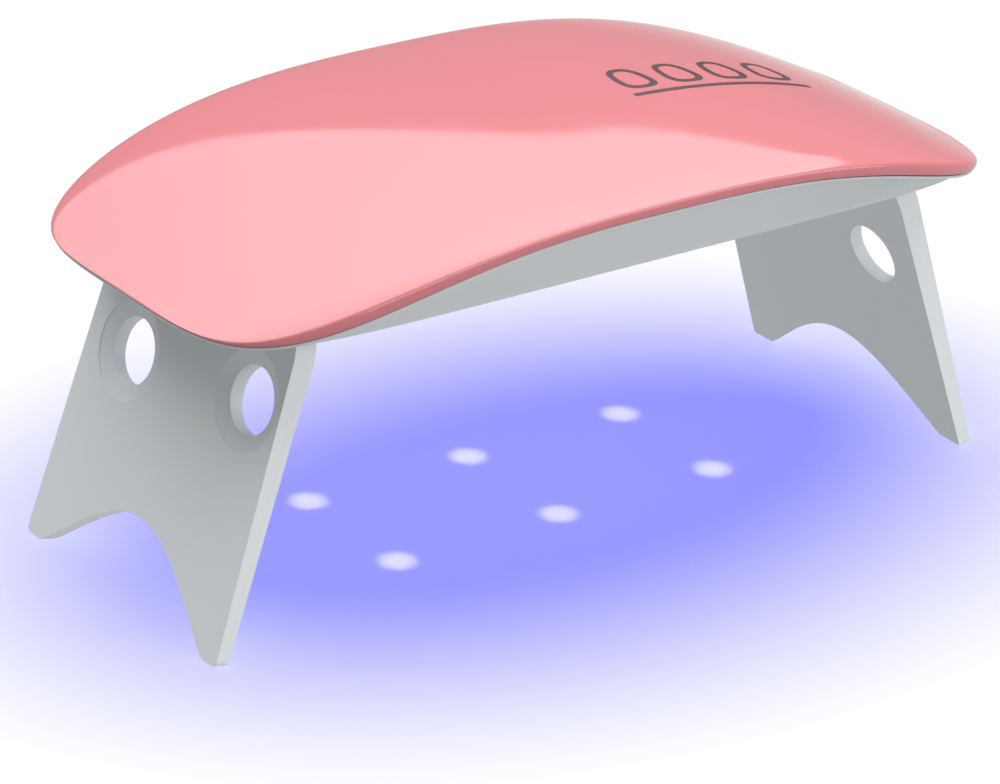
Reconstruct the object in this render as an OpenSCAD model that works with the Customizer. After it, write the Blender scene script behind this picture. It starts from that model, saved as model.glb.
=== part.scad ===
// Folding UV LED nail lamp: a domed cover on a shallow housing that stands on two fold-out legs.
// Millimetres, +Z up. The origin is on the table, under the middle of the lamp.
// +X runs along the lamp, and the power inlet and the button are on the +Y side.

/* [Body] */
// Length of the cover
body_l = 133; // [130:1:140]
// Width of the cover
body_w = 68; // [67:0.5:72]
// Height of the housing's underside above the table
base_h = 44.6; // [43:0.1:47]
// Height of the cover's crown above the underside
crown_h = 14.6; // [14.5:0.1:17]
// How far the parting line arches up at mid length
arch_h = 9.8; // [9:0.1:11]
// Thickness of the cover
cover_wall = 1.1; // [1:0.05:1.2]

/* [Legs] */
// Angle of an open leg from the vertical, in degrees
splay = 17.5; // [16:0.5:18]
// Width of a leg at its feet
leg_foot_w = 47.9; // [46:0.1:48]
// Width of a leg at its shoulders
leg_top_w = 44.2; // [42:0.1:44.4]
// Thickness of a leg at its feet
leg_foot_t = 2.0; // [1.8:0.1:2.4]
// Thickness of a leg at its shoulders
leg_top_t = 3.4; // [3:0.1:3.4]
// Height of the arch between the feet
leg_arch_h = 11.6; // [8:0.1:16]
// Radius of a leg's round holes
leg_hole_r = 4.75; // [4:0.01:5.5]

/* [Light] */
// Distance between LEDs along a row
led_pitch = 28; // [24:1:30]
// Distance between the two rows of LEDs
led_row_gap = 22; // [20:1:23]

/* [Hidden] */
$fn = 48;
eps = 0.01;

// Body outline, seen from above: a superellipse for the cover and a squarer one for the underside
half_l = body_l / 2;
half_w = body_w / 2;
cover_n = 4.2;
base_half_l = half_l - 1.3;
base_half_w = half_w - 6.8;
base_n = 7;
rim_steps = 96;

// Cover heights, measured up from the underside
lip_h = 0.6;
lip_inset = 0.3;
lip_step = 0.9;
joint_gap = 0.15;
band_wall = 2.2;
rim_z = base_h + lip_h;
arch_n = 2.94;
arch_k = 1.93;
crown_n = 2.68;
tip_h = 0.3;
side_bend = 0.002;
edge_blend = 0.3;
section_n = 9;
cover_rings = 9;
ring_spread = 2.5;
min_rise = 0.15;

// Hinges: a rod through the leg's knuckle and the two lugs beside it
knuckle_r = 1.5;
knuckle_half = 18.5;
pin_r = 0.75;
pin_clearance = 0.05;
leg_out = 1.9;
hinge_z = base_h + leg_out;
leg_len = (hinge_z + leg_out * sin(splay)) / cos(splay);
toe_gap = 0.5;
hinge_x = leg_len + toe_gap;
lug_gap = 0.3;
lug_w = 1.8;
lug_r = 1.8;
rod_seat_half = knuckle_half + lug_gap + lug_w - 0.2;
rod_end_gap = 0.05;
shoulder_s = 2.2;
shoulder_h = 5.5;
elbow_s = 2.2;

// Recess in the underside that takes the folded legs
recess_x = hinge_x + 2.74;
recess_end_w = 20.9;
recess_shoulder_x = hinge_x - 1.4;
recess_shoulder_w = leg_top_w / 2 + 0.8;
recess_mid_w = leg_foot_w / 2 + 0.55;
recess_wall = 0.9;
hinge_ceiling = base_h + 3.6;
hinge_floor_t = 0.65;
main_ceiling = base_h + 4.2;
main_floor_t = 1.2;
floor_top = main_ceiling + main_floor_t;
main_x = 45.5;
rim_floor_t = 0.7;
rim_floor_inset = 1.2;

// Screws and their bosses
screw_x = 31;
screw_y = 19.5;
screw_r = 0.95;
screw_len = 5.2;
screw_head_r = 1.8;
screw_head_h = 0.9;
thread_bite = 0.05;
screw_hole_gap = 0.2;
screw_tip_gap = 0.4;
cross_slot = [2.2, 0.5, 0.8];
boss_r = 2.4;
boss_top = base_h + 11.2;
boss_seat = 0.05;
cut_over = 1;

// Boards and light parts
led_board_size = [80, 31, 1];
led_window_r = 3.2;
led_size = [3.5, 3.5, 0.8];
reflector_size = [80, 33.2, 0.6];
led_seat_gap = 0.01;
lens_r = 1.9;
lens_drop = 1;
reflector_gap = 0.02;
reflector_corner = 2;
dish_r = 3.9;
dish_floor_r = 2.7;
stake_x = 14;
stake_r = 0.9;
stake_head_r = 1.5;
stake_head_h = 0.5;
control_size = [48, 11.4, 0.8];
control_y = 21.9;
control_top = floor_top + control_size[2];
port_z = floor_top + 2.1;
port_cut_y = 24;
usb_x = -8;
usb_size = [7.5, 5.2, 2.5];
usb_wall = 0.3;
usb_back_t = 0.6;
usb_front = 31.2;
usb_gap = 0.4;
tongue_size = [3.8, 4.2, 0.6];
tongue_y = 26.65;
tongue_rise = 0.1;
button_x = 9;
button_w = 7;
button_h = 2.6;
button_gap = 0.25;
button_back = 27.2;
button_front = 31.8;
plunger_r = 1;
plunger_back = 24.2;
switch_size = [6, 3, 2.6];
switch_y = 22.6;
indicator_x = 17;
indicator_r = 0.9;
indicator_gap = 0.02;
indicator_back = 28.2;
indicator_front = 31.4;
indicator_led_size = [1.6, 0.9, 1.6];
indicator_led_y = 26.2;

// Parts on the control board
parts_y = 20;
driver_x = -1;
driver_y = 19.6;
driver_size = [5, 4, 1.5];
driver_pin_size = [0.4, 1, 0.6];
driver_pin_pitch = 1.2;
driver_pin_reach = 2.4;
inductor_x = -14;
inductor_r = 2.9;
inductor_h = 2.8;
inductor_dish = 0.4;
inductor_dish_r = 2.1;
capacitor_xs = [-20.4, 6.5];
capacitor_r = 1.9;
capacitor_h = 3.2;
capacitor_foot = [4.2, 4.2, 0.5];
resistor_x = 12;
resistor_y = 19;
resistor_pitch = 2.4;
resistor_size = [1.2, 2, 0.6];
link_x = 20;
link_y = 15.9;
link_size = [0.8, 1.8, 0.3];
link_riser_t = 0.5;

sides = [-1, 1];

function led_x(i) = (i % 3 - 1) * led_pitch;
function led_y(i) = (floor(i / 3) - 0.5) * led_row_gap;

// Points on a superellipse, evenly spread around it
function rim_xy(a, b, n, t) =
    [a * cos(t), b * sin(t)] / pow(pow(abs(cos(t)), n) + pow(abs(sin(t)), n), 1 / n);
function rim_outline(a, b, n) = [for (i = [0 : rim_steps - 1]) rim_xy(a, b, n, i * 360 / rim_steps)];

// Heights of the parting line, of the dome and of the cover, whose edge turns down to the parting line
function parting_z(x) = rim_z
    + arch_h * pow(max(0, 1 - pow(min(1, abs(x) / half_l), arch_n)), arch_k);
function dome_z(x, y) = rim_z + tip_h - side_bend * y * y
    + (crown_h - lip_h - tip_h) * (1 - pow(min(1, abs(x) / half_l), crown_n));
function dome_rise(x, y) = let (d = dome_z(x, y) - parting_z(x))
    (d + sqrt(d * d + 4 * edge_blend * edge_blend)) / 2;
function reach(x, y) = min(1,
    pow(pow(abs(x) / half_l, cover_n) + pow(abs(y) / half_w, cover_n), 1 / cover_n));
function cover_z(x, y) = parting_z(x)
    + dome_rise(x, y) * pow(max(0, 1 - pow(reach(x, y), section_n)), 1 / section_n);

// One ring of points around the body at a given outline, with its own height rule
function ring(a, b, n, z) = [for (p = rim_outline(a, b, n)) [p[0], p[1], z]];
function parting_ring(a, b, drop) =
    [for (p = rim_outline(a, b, cover_n)) [p[0], p[1], parting_z(p[0] * half_l / a) - drop]];
function skin_ring(k, a, b, wall) = let (r = 1 - pow(1 - k / cover_rings, ring_spread))
    [for (p = rim_outline(half_l * r, half_w * r, cover_n))
        [p[0] * a / half_l, p[1] * b / half_w,
         k == cover_rings ? parting_z(p[0]) : max(parting_z(p[0]) + min_rise, cover_z(p[0], p[1]) - wall)]];

// Faces between rings that follow each other in one list of points
function band_faces(first, count) = [for (r = [first : first + count - 1], i = [0 : rim_steps - 1])
    let (j = (i + 1) % rim_steps, a = r * rim_steps, b = a + rim_steps)
    each [[a + i, a + j, b + j], [a + i, b + j, b + i]]];
function flat(rings) = [for (r = rings) each r];

// Solid between an inner and an outer skin that share a flat rim
module shell_solid(outer, inner, top, under) {
    rings = concat([for (k = [1 : cover_rings]) outer[k]],
                   [for (k = [cover_rings : -1 : 1]) inner[k]]);
    last = 2 * cover_rings - 1;
    top_i = 2 * cover_rings * rim_steps;
    caps = [for (i = [0 : rim_steps - 1]) let (j = (i + 1) % rim_steps)
        each [[top_i, j, i], [top_i + 1, last * rim_steps + i, last * rim_steps + j]]];
    polyhedron(concat(flat(rings), [top, under]), concat(band_faces(0, last), caps));
}

// Closed tube between rings, the last joined to the first
module ring_tube(rings) {
    n = len(rings);
    closing = [for (i = [0 : rim_steps - 1]) let (j = (i + 1) % rim_steps, a = (n - 1) * rim_steps)
        each [[a + i, a + j, j], [a + i, j, i]]];
    polyhedron(flat(rings), concat(band_faces(0, n - 1), closing));
}

module at_screws() {
    for (sx = sides, sy = sides) translate([sx * screw_x, sy * screw_y, 0]) children();
}

module at_hinges() {
    for (s = sides) translate([s * hinge_x, 0, hinge_z]) children();
}

module along_y(r, from, to) {
    translate([0, to, 0]) rotate([90, 0, 0]) cylinder(r = r, h = to - from);
}

// Flat bar with round ends, pointing along Y
module pill(w, h, from, to) {
    translate([0, to, 0]) rotate([90, 0, 0]) linear_extrude(to - from) {
        square([w - h, h], center = true);
        for (s = sides) translate([s * (w - h) / 2, 0]) circle(r = h / 2);
    }
}

module top_cover() {
    a = half_l - cover_wall;
    b = half_w - cover_wall;
    outer = [for (k = [0 : cover_rings]) skin_ring(k, half_l, half_w, 0)];
    inner = [for (k = [0 : cover_rings]) skin_ring(k, a, b, cover_wall)];
    crown = cover_z(0, 0);
    color([0.97, 0.62, 0.66]) {
        difference() {
            union() {
                shell_solid(outer, inner, [0, 0, crown], [0, 0, crown - cover_wall]);
                at_screws() translate([0, 0, floor_top + boss_seat])
                    cylinder(r = boss_r, h = boss_top - floor_top);
            }
            at_screws() translate([0, 0, floor_top - cut_over])
                cylinder(r = screw_r - thread_bite, h = screw_len + cut_over);
        }
    }
}

// Outline of the recess, grown outward by a wall
function recess_corner(g) = [[0, recess_mid_w + g], [recess_shoulder_x + g / 2, recess_shoulder_w + g],
                             [recess_x + g, recess_end_w + g]];
module recess_outline(g) {
    c = recess_corner(g);
    polygon([c[0], c[1], c[2], [c[2][0], -c[2][1]], [c[1][0], -c[1][1]], [0, -c[0][1]],
             [-c[1][0], -c[1][1]], [-c[2][0], -c[2][1]], [-c[2][0], c[2][1]], [-c[1][0], c[1][1]]]);
}

module slab(x, y, z0, z1) {
    translate([-x, -y, z0]) cube([2 * x, 2 * y, z1 - z0]);
}

// Flared band between the underside and the thin lip that carries the cover
module housing_band() {
    lip_a = half_l - lip_inset;
    lip_b = half_w - lip_inset;
    ring_tube([
        ring(base_half_l - band_wall, base_half_w - band_wall, base_n, base_h),
        parting_ring(lip_a - band_wall, lip_b - band_wall, joint_gap),
        parting_ring(lip_a, lip_b, joint_gap),
        parting_ring(lip_a, lip_b, lip_h - 0.05),
        parting_ring(lip_a - lip_step, lip_b - lip_step, lip_h - 0.05),
        ring(base_half_l, base_half_w, base_n, base_h)]);
}

module tray() {
    difference() {
        union() {
            translate([0, 0, base_h]) linear_extrude(rim_floor_t)
                polygon(rim_outline(base_half_l - rim_floor_inset, base_half_w - rim_floor_inset, base_n));
            translate([0, 0, base_h]) linear_extrude(hinge_ceiling + hinge_floor_t - base_h)
                recess_outline(recess_wall);
            intersection() {
                translate([0, 0, base_h]) linear_extrude(floor_top - base_h) recess_outline(recess_wall);
                slab(main_x + recess_wall, half_w, base_h, floor_top);
            }
        }
        translate([0, 0, base_h - cut_over])
            linear_extrude(hinge_ceiling - base_h + cut_over) recess_outline(0);
        intersection() {
            translate([0, 0, base_h - cut_over])
                linear_extrude(main_ceiling - base_h + cut_over) recess_outline(0);
            slab(main_x, half_w, base_h - cut_over, main_ceiling);
        }
    }
}

module hinge_lugs() {
    inner = knuckle_half + lug_gap;
    at_hinges() for (t = sides) {
        y0 = t > 0 ? inner : -inner - lug_w;
        along_y(lug_r, y0, y0 + lug_w);
        translate([-lug_r, y0, 0]) cube([2 * lug_r, lug_w, hinge_ceiling - hinge_z + eps]);
    }
}

module lower_housing() {
    color([0.72, 0.74, 0.74]) {
        difference() {
            union() {
                housing_band();
                tray();
                hinge_lugs();
                for (s = sides) translate([s * stake_x, 0, floor_top - eps]) {
                    cylinder(r = stake_r, h = led_board_size[2] + stake_head_h / 2);
                    translate([0, 0, led_board_size[2] + 2 * eps])
                        cylinder(r = stake_head_r, h = stake_head_h);
                }
            }
            at_hinges() along_y(pin_r, -rod_seat_half, rod_seat_half);
            for (i = [0 : 5]) translate([led_x(i), led_y(i), base_h])
                cylinder(r = led_window_r, h = floor_top - base_h + cut_over);
            at_screws() translate([0, 0, main_ceiling - eps]) {
                cylinder(r = screw_r + screw_hole_gap, h = main_floor_t + cut_over);
                cylinder(r1 = screw_head_r + screw_hole_gap / 2, r2 = screw_r + screw_hole_gap / 2,
                    h = screw_head_h + thread_bite);
            }
            translate([button_x, 0, port_z])
                pill(button_w + 2 * button_gap, button_h + 2 * button_gap, port_cut_y, half_w + cut_over);
            translate([usb_x, 0, port_z])
                pill(usb_size[0] + 2 * usb_gap, usb_size[2] + 2 * usb_gap, port_cut_y, half_w + cut_over);
            translate([indicator_x, 0, port_z]) along_y(indicator_r, port_cut_y, half_w + cut_over);
        }
    }
}

module reflector_plate() {
    color([0.9, 0.9, 0.93]) difference() {
        translate([0, 0, main_ceiling - reflector_size[2]]) linear_extrude(reflector_size[2] - reflector_gap)
            offset(r = reflector_corner)
            square([reflector_size[0] - 2 * reflector_corner, reflector_size[1] - 2 * reflector_corner],
                center = true);
        for (i = [0 : 5]) translate([led_x(i), led_y(i), main_ceiling - reflector_size[2] - eps])
            cylinder(r1 = dish_r, r2 = dish_floor_r, h = reflector_size[2] + 2 * eps);
    }
}

module led_board() {
    color([0.9, 0.9, 0.86]) difference() {
        translate([-led_board_size[0] / 2, -led_board_size[1] / 2, floor_top]) cube(led_board_size);
        for (s = sides) translate([s * stake_x, 0, floor_top - cut_over])
            cylinder(r = stake_r + pin_clearance, h = led_board_size[2] + 2 * cut_over);
    }
}

module uv_led(i) {
    color([0.95, 0.95, 0.92]) translate([led_x(i), led_y(i), floor_top - led_size[2] / 2 - led_seat_gap])
        cube(led_size, center = true);
}

module led_lens(i) {
    base = floor_top - led_size[2] - 2 * led_seat_gap;
    color([0.85, 0.8, 1]) translate([led_x(i), led_y(i), base]) intersection() {
        translate([0, 0, lens_drop]) sphere(r = lens_r);
        translate([-lens_r, -lens_r, -2 * lens_r]) cube(2 * lens_r);
    }
}

module control_board() {
    color([0.12, 0.4, 0.22]) translate([-control_size[0] / 2, control_y - control_size[1] / 2, floor_top])
        cube(control_size);
}

module chip(x, y, size) {
    translate([x, y, control_top + size[2] / 2]) cube(size, center = true);
}

module driver_chip() {
    color([0.12, 0.12, 0.13]) {
        chip(driver_x, driver_y, driver_size);
        for (s = sides, k = [-1.5 : 1 : 1.5])
            translate([driver_x + k * driver_pin_pitch, driver_y + s * driver_pin_reach,
                control_top + driver_pin_size[2] / 2]) cube(driver_pin_size, center = true);
    }
}

module power_inductor() {
    color([0.2, 0.2, 0.22]) translate([inductor_x, parts_y, control_top]) difference() {
        cylinder(r = inductor_r, h = inductor_h);
        translate([0, 0, inductor_h - inductor_dish]) cylinder(r = inductor_dish_r, h = cut_over);
    }
}

module filter_capacitors() {
    foot = capacitor_foot[0] / 2;
    color([0.75, 0.75, 0.78]) for (x = capacitor_xs) translate([x, parts_y, control_top]) {
        cylinder(r = capacitor_r, h = capacitor_h);
        translate([-foot, -foot, 0]) cube(capacitor_foot);
    }
}

module chip_resistors() {
    color([0.15, 0.15, 0.15]) for (i = [0 : 3])
        chip(resistor_x + i * resistor_pitch, resistor_y, resistor_size);
}

// Two bent strips that carry current from the control board down to the LED board
module board_link() {
    step = led_board_size[2] - control_size[2];
    reach = link_size[1] / 2;
    color([0.8, 0.65, 0.3]) for (s = sides) translate([link_x + s, link_y, control_top + link_size[2] / 2]) {
        translate([0, reach, 0]) cube(link_size, center = true);
        translate([0, 0, step / 2]) cube([link_size[0], link_riser_t, link_size[2] + step], center = true);
        translate([0, -reach, step]) cube(link_size, center = true);
    }
}

module tact_switch() {
    color([0.2, 0.2, 0.2]) difference() {
        translate([button_x - switch_size[0] / 2, switch_y, control_top]) cube(switch_size);
        translate([button_x, 0, port_z])
            along_y(plunger_r + pin_clearance, switch_y + cut_over, switch_y + switch_size[1] + cut_over);
    }
}

module switch_plunger() {
    color([0.9, 0.88, 0.82]) translate([button_x, 0, port_z]) along_y(plunger_r, plunger_back, button_back);
}

module power_button() {
    color([0.85, 0.86, 0.86]) translate([button_x, 0, port_z])
        pill(button_w, button_h, button_back, button_front);
}

module micro_usb_shell() {
    back = usb_front - usb_size[1];
    color([0.78, 0.78, 0.8]) translate([usb_x, 0, port_z]) difference() {
        pill(usb_size[0], usb_size[2], back, usb_front);
        pill(usb_size[0] - 2 * usb_wall, usb_size[2] - 2 * usb_wall, back + usb_back_t, usb_front + cut_over);
    }
}

module micro_usb_tongue() {
    color([0.15, 0.15, 0.16])
        translate([usb_x - tongue_size[0] / 2, tongue_y, port_z + tongue_rise]) cube(tongue_size);
}

module indicator_led() {
    color([0.95, 0.95, 0.9])
        translate([indicator_x - indicator_led_size[0] / 2, indicator_led_y, control_top])
            cube(indicator_led_size);
}

module indicator_lens() {
    color([0.9, 0.95, 1]) translate([indicator_x, 0, port_z])
        along_y(indicator_r - indicator_gap, indicator_back, indicator_front);
}

module case_screws() {
    color([0.75, 0.75, 0.77]) at_screws() translate([0, 0, main_ceiling]) difference() {
        union() {
            cylinder(r1 = screw_head_r, r2 = screw_r, h = screw_head_h);
            cylinder(r = screw_r, h = screw_len + main_floor_t - screw_tip_gap);
        }
        for (a = [0, 90]) rotate([0, 0, a]) cube(cross_slot, center = true);
    }
}

// Side view of a leg, in the leg's own frame: hinge rod at the origin, plate hanging down, outer face at +X
elbow_outline = [for (a = [0 : 15 : 90]) [leg_out * cos(a), -elbow_s + (knuckle_r + elbow_s) * sin(a)]];
knuckle_outline = [for (a = [105 : 15 : 180]) [knuckle_r * cos(a), knuckle_r * sin(a)]];
side_outline = concat(elbow_outline, knuckle_outline,
    [[leg_out - leg_top_t, -4], [leg_out - leg_foot_t, -leg_len - 2], [leg_out, -leg_len - 2]]);

// Front view of a leg, half of it: rounded shoulder, tapered side, short sole and half of the arch
foot_half = leg_foot_w / 2;
top_half = leg_top_w / 2;
sole_w = 3.3;
arch_round = 0.58;
arch_half = foot_half - sole_w;
function arch_drop(y) = leg_arch_h * pow((1 + cos(180 * y / arch_half)) / 2, arch_round);
shoulder_outline = [for (a = [90 : -15 : 0])
    [knuckle_half + (top_half - knuckle_half) * cos(a), -shoulder_s - shoulder_h + shoulder_h * sin(a)]];
arch_outline = [for (k = [20 : -1 : 1]) let (y = arch_half * k / 20) [y, -leg_len + arch_drop(y)]];
leg_half_outline = concat([[knuckle_half, knuckle_r + 1]], shoulder_outline,
    [[foot_half, -leg_len + 0.5], [foot_half, -leg_len - 2], [arch_half, -leg_len - 2]], arch_outline);
front_outline = concat(leg_half_outline, [[0, -leg_len + leg_arch_h]],
    [for (k = [len(leg_half_outline) - 1 : -1 : 0]) [-leg_half_outline[k][0], leg_half_outline[k][1]]]);

// Round holes: the one on each leg's +Y side (right leg) sits a little higher than its neighbour
hole_y = [12.6, 14.8];
hole_up = [31.1, 34.5];
ring_r = 6.95;
ring_depth = 0.8;

module leg_plate() {
    difference() {
        intersection() {
            rotate([90, 0, 0]) linear_extrude(2 * foot_half + 2, center = true) polygon(side_outline);
            rotate([90, 0, 90]) linear_extrude(4 * leg_top_t, center = true) polygon(front_outline);
        }
        along_y(pin_r + pin_clearance, -foot_half, foot_half);
        for (k = [0, 1]) translate([leg_out, sides[k] * hole_y[k], -leg_len + hole_up[k]])
            rotate([0, -90, 0]) {
                translate([0, 0, -1]) cylinder(r = leg_hole_r, h = 8);
                translate([0, 0, -eps]) cylinder(r1 = ring_r, r2 = leg_hole_r, h = ring_depth);
            }
    }
}

module right_leg() {
    color([0.8, 0.81, 0.82]) difference() {
        translate([hinge_x, 0, hinge_z]) rotate([0, -splay, 0]) leg_plate();
        translate([hinge_x, -foot_half - 1, -10]) cube([40, 2 * foot_half + 2, 10]);
    }
}

module left_leg() {
    rotate([0, 0, 180]) right_leg();
}

module hinge_pin(s) {
    half = rod_seat_half - rod_end_gap;
    color([0.7, 0.7, 0.72]) translate([s * hinge_x, 0, hinge_z]) along_y(pin_r, -half, half);
}

top_cover();
lower_housing();
reflector_plate();
led_board();
uv_led(0);  // uv_led_1
uv_led(1);  // uv_led_2
uv_led(2);  // uv_led_3
uv_led(3);  // uv_led_4
uv_led(4);  // uv_led_5
uv_led(5);  // uv_led_6
led_lens(0);  // led_lens_1
led_lens(1);  // led_lens_2
led_lens(2);  // led_lens_3
led_lens(3);  // led_lens_4
led_lens(4);  // led_lens_5
led_lens(5);  // led_lens_6
control_board();
driver_chip();
power_inductor();
filter_capacitors();
chip_resistors();
board_link();
tact_switch();
micro_usb_shell();
micro_usb_tongue();
indicator_led();
indicator_lens();
case_screws();
left_leg();
right_leg();
hinge_pin(-1);  // left_hinge_pin
hinge_pin(1);  // right_hinge_pin
switch_plunger();
power_button();
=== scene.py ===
"""Folding UV LED nail lamp: shapes, finishes, light and camera around the fixed CAD frame."""
import logging
import math
from dataclasses import dataclass
from enum import Enum
from typing import Callable, Optional, Sequence

import bmesh
import bpy
from mathutils import Matrix, Vector


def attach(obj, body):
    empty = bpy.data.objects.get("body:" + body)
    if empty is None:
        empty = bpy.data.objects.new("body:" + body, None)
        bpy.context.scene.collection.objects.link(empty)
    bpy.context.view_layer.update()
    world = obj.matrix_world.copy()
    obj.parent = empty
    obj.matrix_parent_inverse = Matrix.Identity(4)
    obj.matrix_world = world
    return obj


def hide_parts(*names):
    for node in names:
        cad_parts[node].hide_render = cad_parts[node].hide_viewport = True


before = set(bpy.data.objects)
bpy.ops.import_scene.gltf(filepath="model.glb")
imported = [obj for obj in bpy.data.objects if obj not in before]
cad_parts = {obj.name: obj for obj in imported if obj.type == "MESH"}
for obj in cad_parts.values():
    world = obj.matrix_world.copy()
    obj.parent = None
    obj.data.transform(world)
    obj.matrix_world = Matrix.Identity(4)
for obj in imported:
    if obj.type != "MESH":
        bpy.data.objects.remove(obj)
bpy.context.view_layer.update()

LOG = logging.getLogger("nail_lamp")
MM = 0.001
SIDES = (-1, 1)

Point2 = tuple[float, float]
Colour = tuple[float, float, float, float]
Row = Callable[[float], Vector]


class Body(str, Enum):
    """The bodies that pieces ride on."""

    HOUSING = "housing"
    LEFT_LEG = "left_leg_body"
    RIGHT_LEG = "right_leg_body"
    BUTTON = "button"


class Cut(str, Enum):
    """The ways in which one blank shapes another."""

    REMOVE = "DIFFERENCE"
    JOIN = "UNION"
    KEEP = "INTERSECT"


class Axis(str, Enum):
    """The directions in which an outline is drawn out into a bar."""

    X = "X"
    Y = "Y"
    Z = "Z"


# ---------------------------------------------------------------------------
# Finishes
# ---------------------------------------------------------------------------


def shade(red: int, green: int, blue: int) -> Colour:
    """Turns a colour given on the 0 to 255 display scale into linear light.

    Args:
        red: Red on the display scale.
        green: Green on the display scale.
        blue: Blue on the display scale.

    Returns:
        The linear colour with full alpha.
    """
    linear = [
        v / 12.92 if v <= 0.04045 else ((v + 0.055) / 1.055) ** 2.4
        for v in (red / 255, green / 255, blue / 255)
    ]
    return (linear[0], linear[1], linear[2], 1.0)


def scaled(colour: Colour, factor: float) -> Colour:
    """Makes a colour darker or lighter.

    Args:
        colour: The linear colour.
        factor: What each channel is multiplied by.

    Returns:
        The new colour, held at or below full brightness.
    """
    return (
        min(1.0, colour[0] * factor),
        min(1.0, colour[1] * factor),
        min(1.0, colour[2] * factor),
        1.0,
    )


class Recipe:
    """A node material while it is being put together."""

    def __init__(self, name: str) -> None:
        """Starts a material with a plain shader.

        Args:
            name: The material's name.
        """
        self.material = bpy.data.materials.new(name)
        self.material.use_nodes = True
        self.tree = self.material.node_tree
        self.tree.nodes.clear()
        self.output = self.tree.nodes.new("ShaderNodeOutputMaterial")
        self.shader = self.tree.nodes.new("ShaderNodeBsdfPrincipled")
        self.coords = self.tree.nodes.new("ShaderNodeTexCoord")
        self.link(self.shader.outputs["BSDF"], self.output.inputs["Surface"])

    def link(self, source: bpy.types.NodeSocket, target: bpy.types.NodeSocket) -> None:
        """Joins two sockets."""
        self.tree.links.new(source, target)

    def constants(self, **values: object) -> "Recipe":
        """Sets the shader's own sockets.

        Args:
            **values: Socket names with underscores for spaces, and their values.

        Returns:
            This recipe.
        """
        for key, value in values.items():
            self.shader.inputs[key.replace("_", " ")].default_value = value
        return self

    def place(self, stretch: Sequence[float] = (1, 1, 1), turn: float = 0.0) -> bpy.types.NodeSocket:
        """Gives the object coordinates, stretched or turned about the upright axis.

        Args:
            stretch: How much the pattern is squeezed along each axis.
            turn: Turn about the upright axis, in radians.

        Returns:
            The socket that carries the coordinates.
        """
        mapping = self.tree.nodes.new("ShaderNodeMapping")
        mapping.inputs["Scale"].default_value = stretch
        mapping.inputs["Rotation"].default_value = (0, 0, turn)
        self.link(self.coords.outputs["Object"], mapping.inputs["Vector"])
        return mapping.outputs["Vector"]

    def noise(
        self,
        size: float,
        detail: float = 2.0,
        stretch: Sequence[float] = (1, 1, 1),
    ) -> bpy.types.NodeSocket:
        """Adds a cloudy pattern.

        Args:
            size: The size of one cloud, in millimetres.
            detail: How many finer layers lie on it.
            stretch: How much the pattern is squeezed along each axis.

        Returns:
            The pattern's value.
        """
        node = self.tree.nodes.new("ShaderNodeTexNoise")
        node.inputs["Scale"].default_value = 1 / (size * MM)
        node.inputs["Detail"].default_value = detail
        self.link(self.place(stretch), node.inputs["Vector"])
        return node.outputs["Fac"]

    def cells(self, size: float) -> bpy.types.NodeSocket:
        """Adds a pattern of cells.

        Args:
            size: The size of one cell, in millimetres.

        Returns:
            The distance from each cell's middle.
        """
        node = self.tree.nodes.new("ShaderNodeTexVoronoi")
        node.inputs["Scale"].default_value = 1 / (size * MM)
        self.link(self.place(), node.inputs["Vector"])
        return node.outputs["Distance"]

    def spread(
        self, source: bpy.types.NodeSocket, low: float, high: float, start: float = 0.3, end: float = 0.7
    ) -> bpy.types.NodeSocket:
        """Maps a pattern on to a range.

        Args:
            source: The pattern.
            low: The result at the start.
            high: The result at the end.
            start: The pattern's value that gives the low result.
            end: The pattern's value that gives the high result.

        Returns:
            The mapped value.
        """
        node = self.tree.nodes.new("ShaderNodeMapRange")
        node.inputs["From Min"].default_value = start
        node.inputs["From Max"].default_value = end
        node.inputs["To Min"].default_value = low
        node.inputs["To Max"].default_value = high
        self.link(source, node.inputs["Value"])
        return node.outputs["Result"]

    def tint(self, factor: bpy.types.NodeSocket, first: Colour, second: Colour) -> bpy.types.NodeSocket:
        """Mixes two colours by a pattern.

        Args:
            factor: The pattern.
            first: The colour where the pattern is low.
            second: The colour where the pattern is high.

        Returns:
            The mixed colour.
        """
        node = self.tree.nodes.new("ShaderNodeMix")
        node.data_type = "RGBA"
        colour_in = [s for s in node.inputs if s.type == "RGBA"]
        colour_in[0].default_value = first
        colour_in[1].default_value = second
        self.link(factor, node.inputs["Factor"])
        return [s for s in node.outputs if s.type == "RGBA"][0]

    def colour(self, source: bpy.types.NodeSocket) -> "Recipe":
        """Uses a pattern as the surface colour."""
        self.link(source, self.shader.inputs["Base Color"])
        return self

    def roughness(self, source: bpy.types.NodeSocket) -> "Recipe":
        """Uses a pattern as the roughness."""
        self.link(source, self.shader.inputs["Roughness"])
        return self

    def relief(self, height: bpy.types.NodeSocket, depth: float, strength: float = 1.0) -> "Recipe":
        """Lets a pattern raise and lower the surface.

        Args:
            height: The pattern.
            depth: The relief's depth, in millimetres.
            strength: How strongly it shows.

        Returns:
            This recipe.
        """
        node = self.tree.nodes.new("ShaderNodeBump")
        node.inputs["Strength"].default_value = strength
        node.inputs["Distance"].default_value = depth * MM
        self.link(height, node.inputs["Height"])
        self.link(node.outputs["Normal"], self.shader.inputs["Normal"])
        return self


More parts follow.
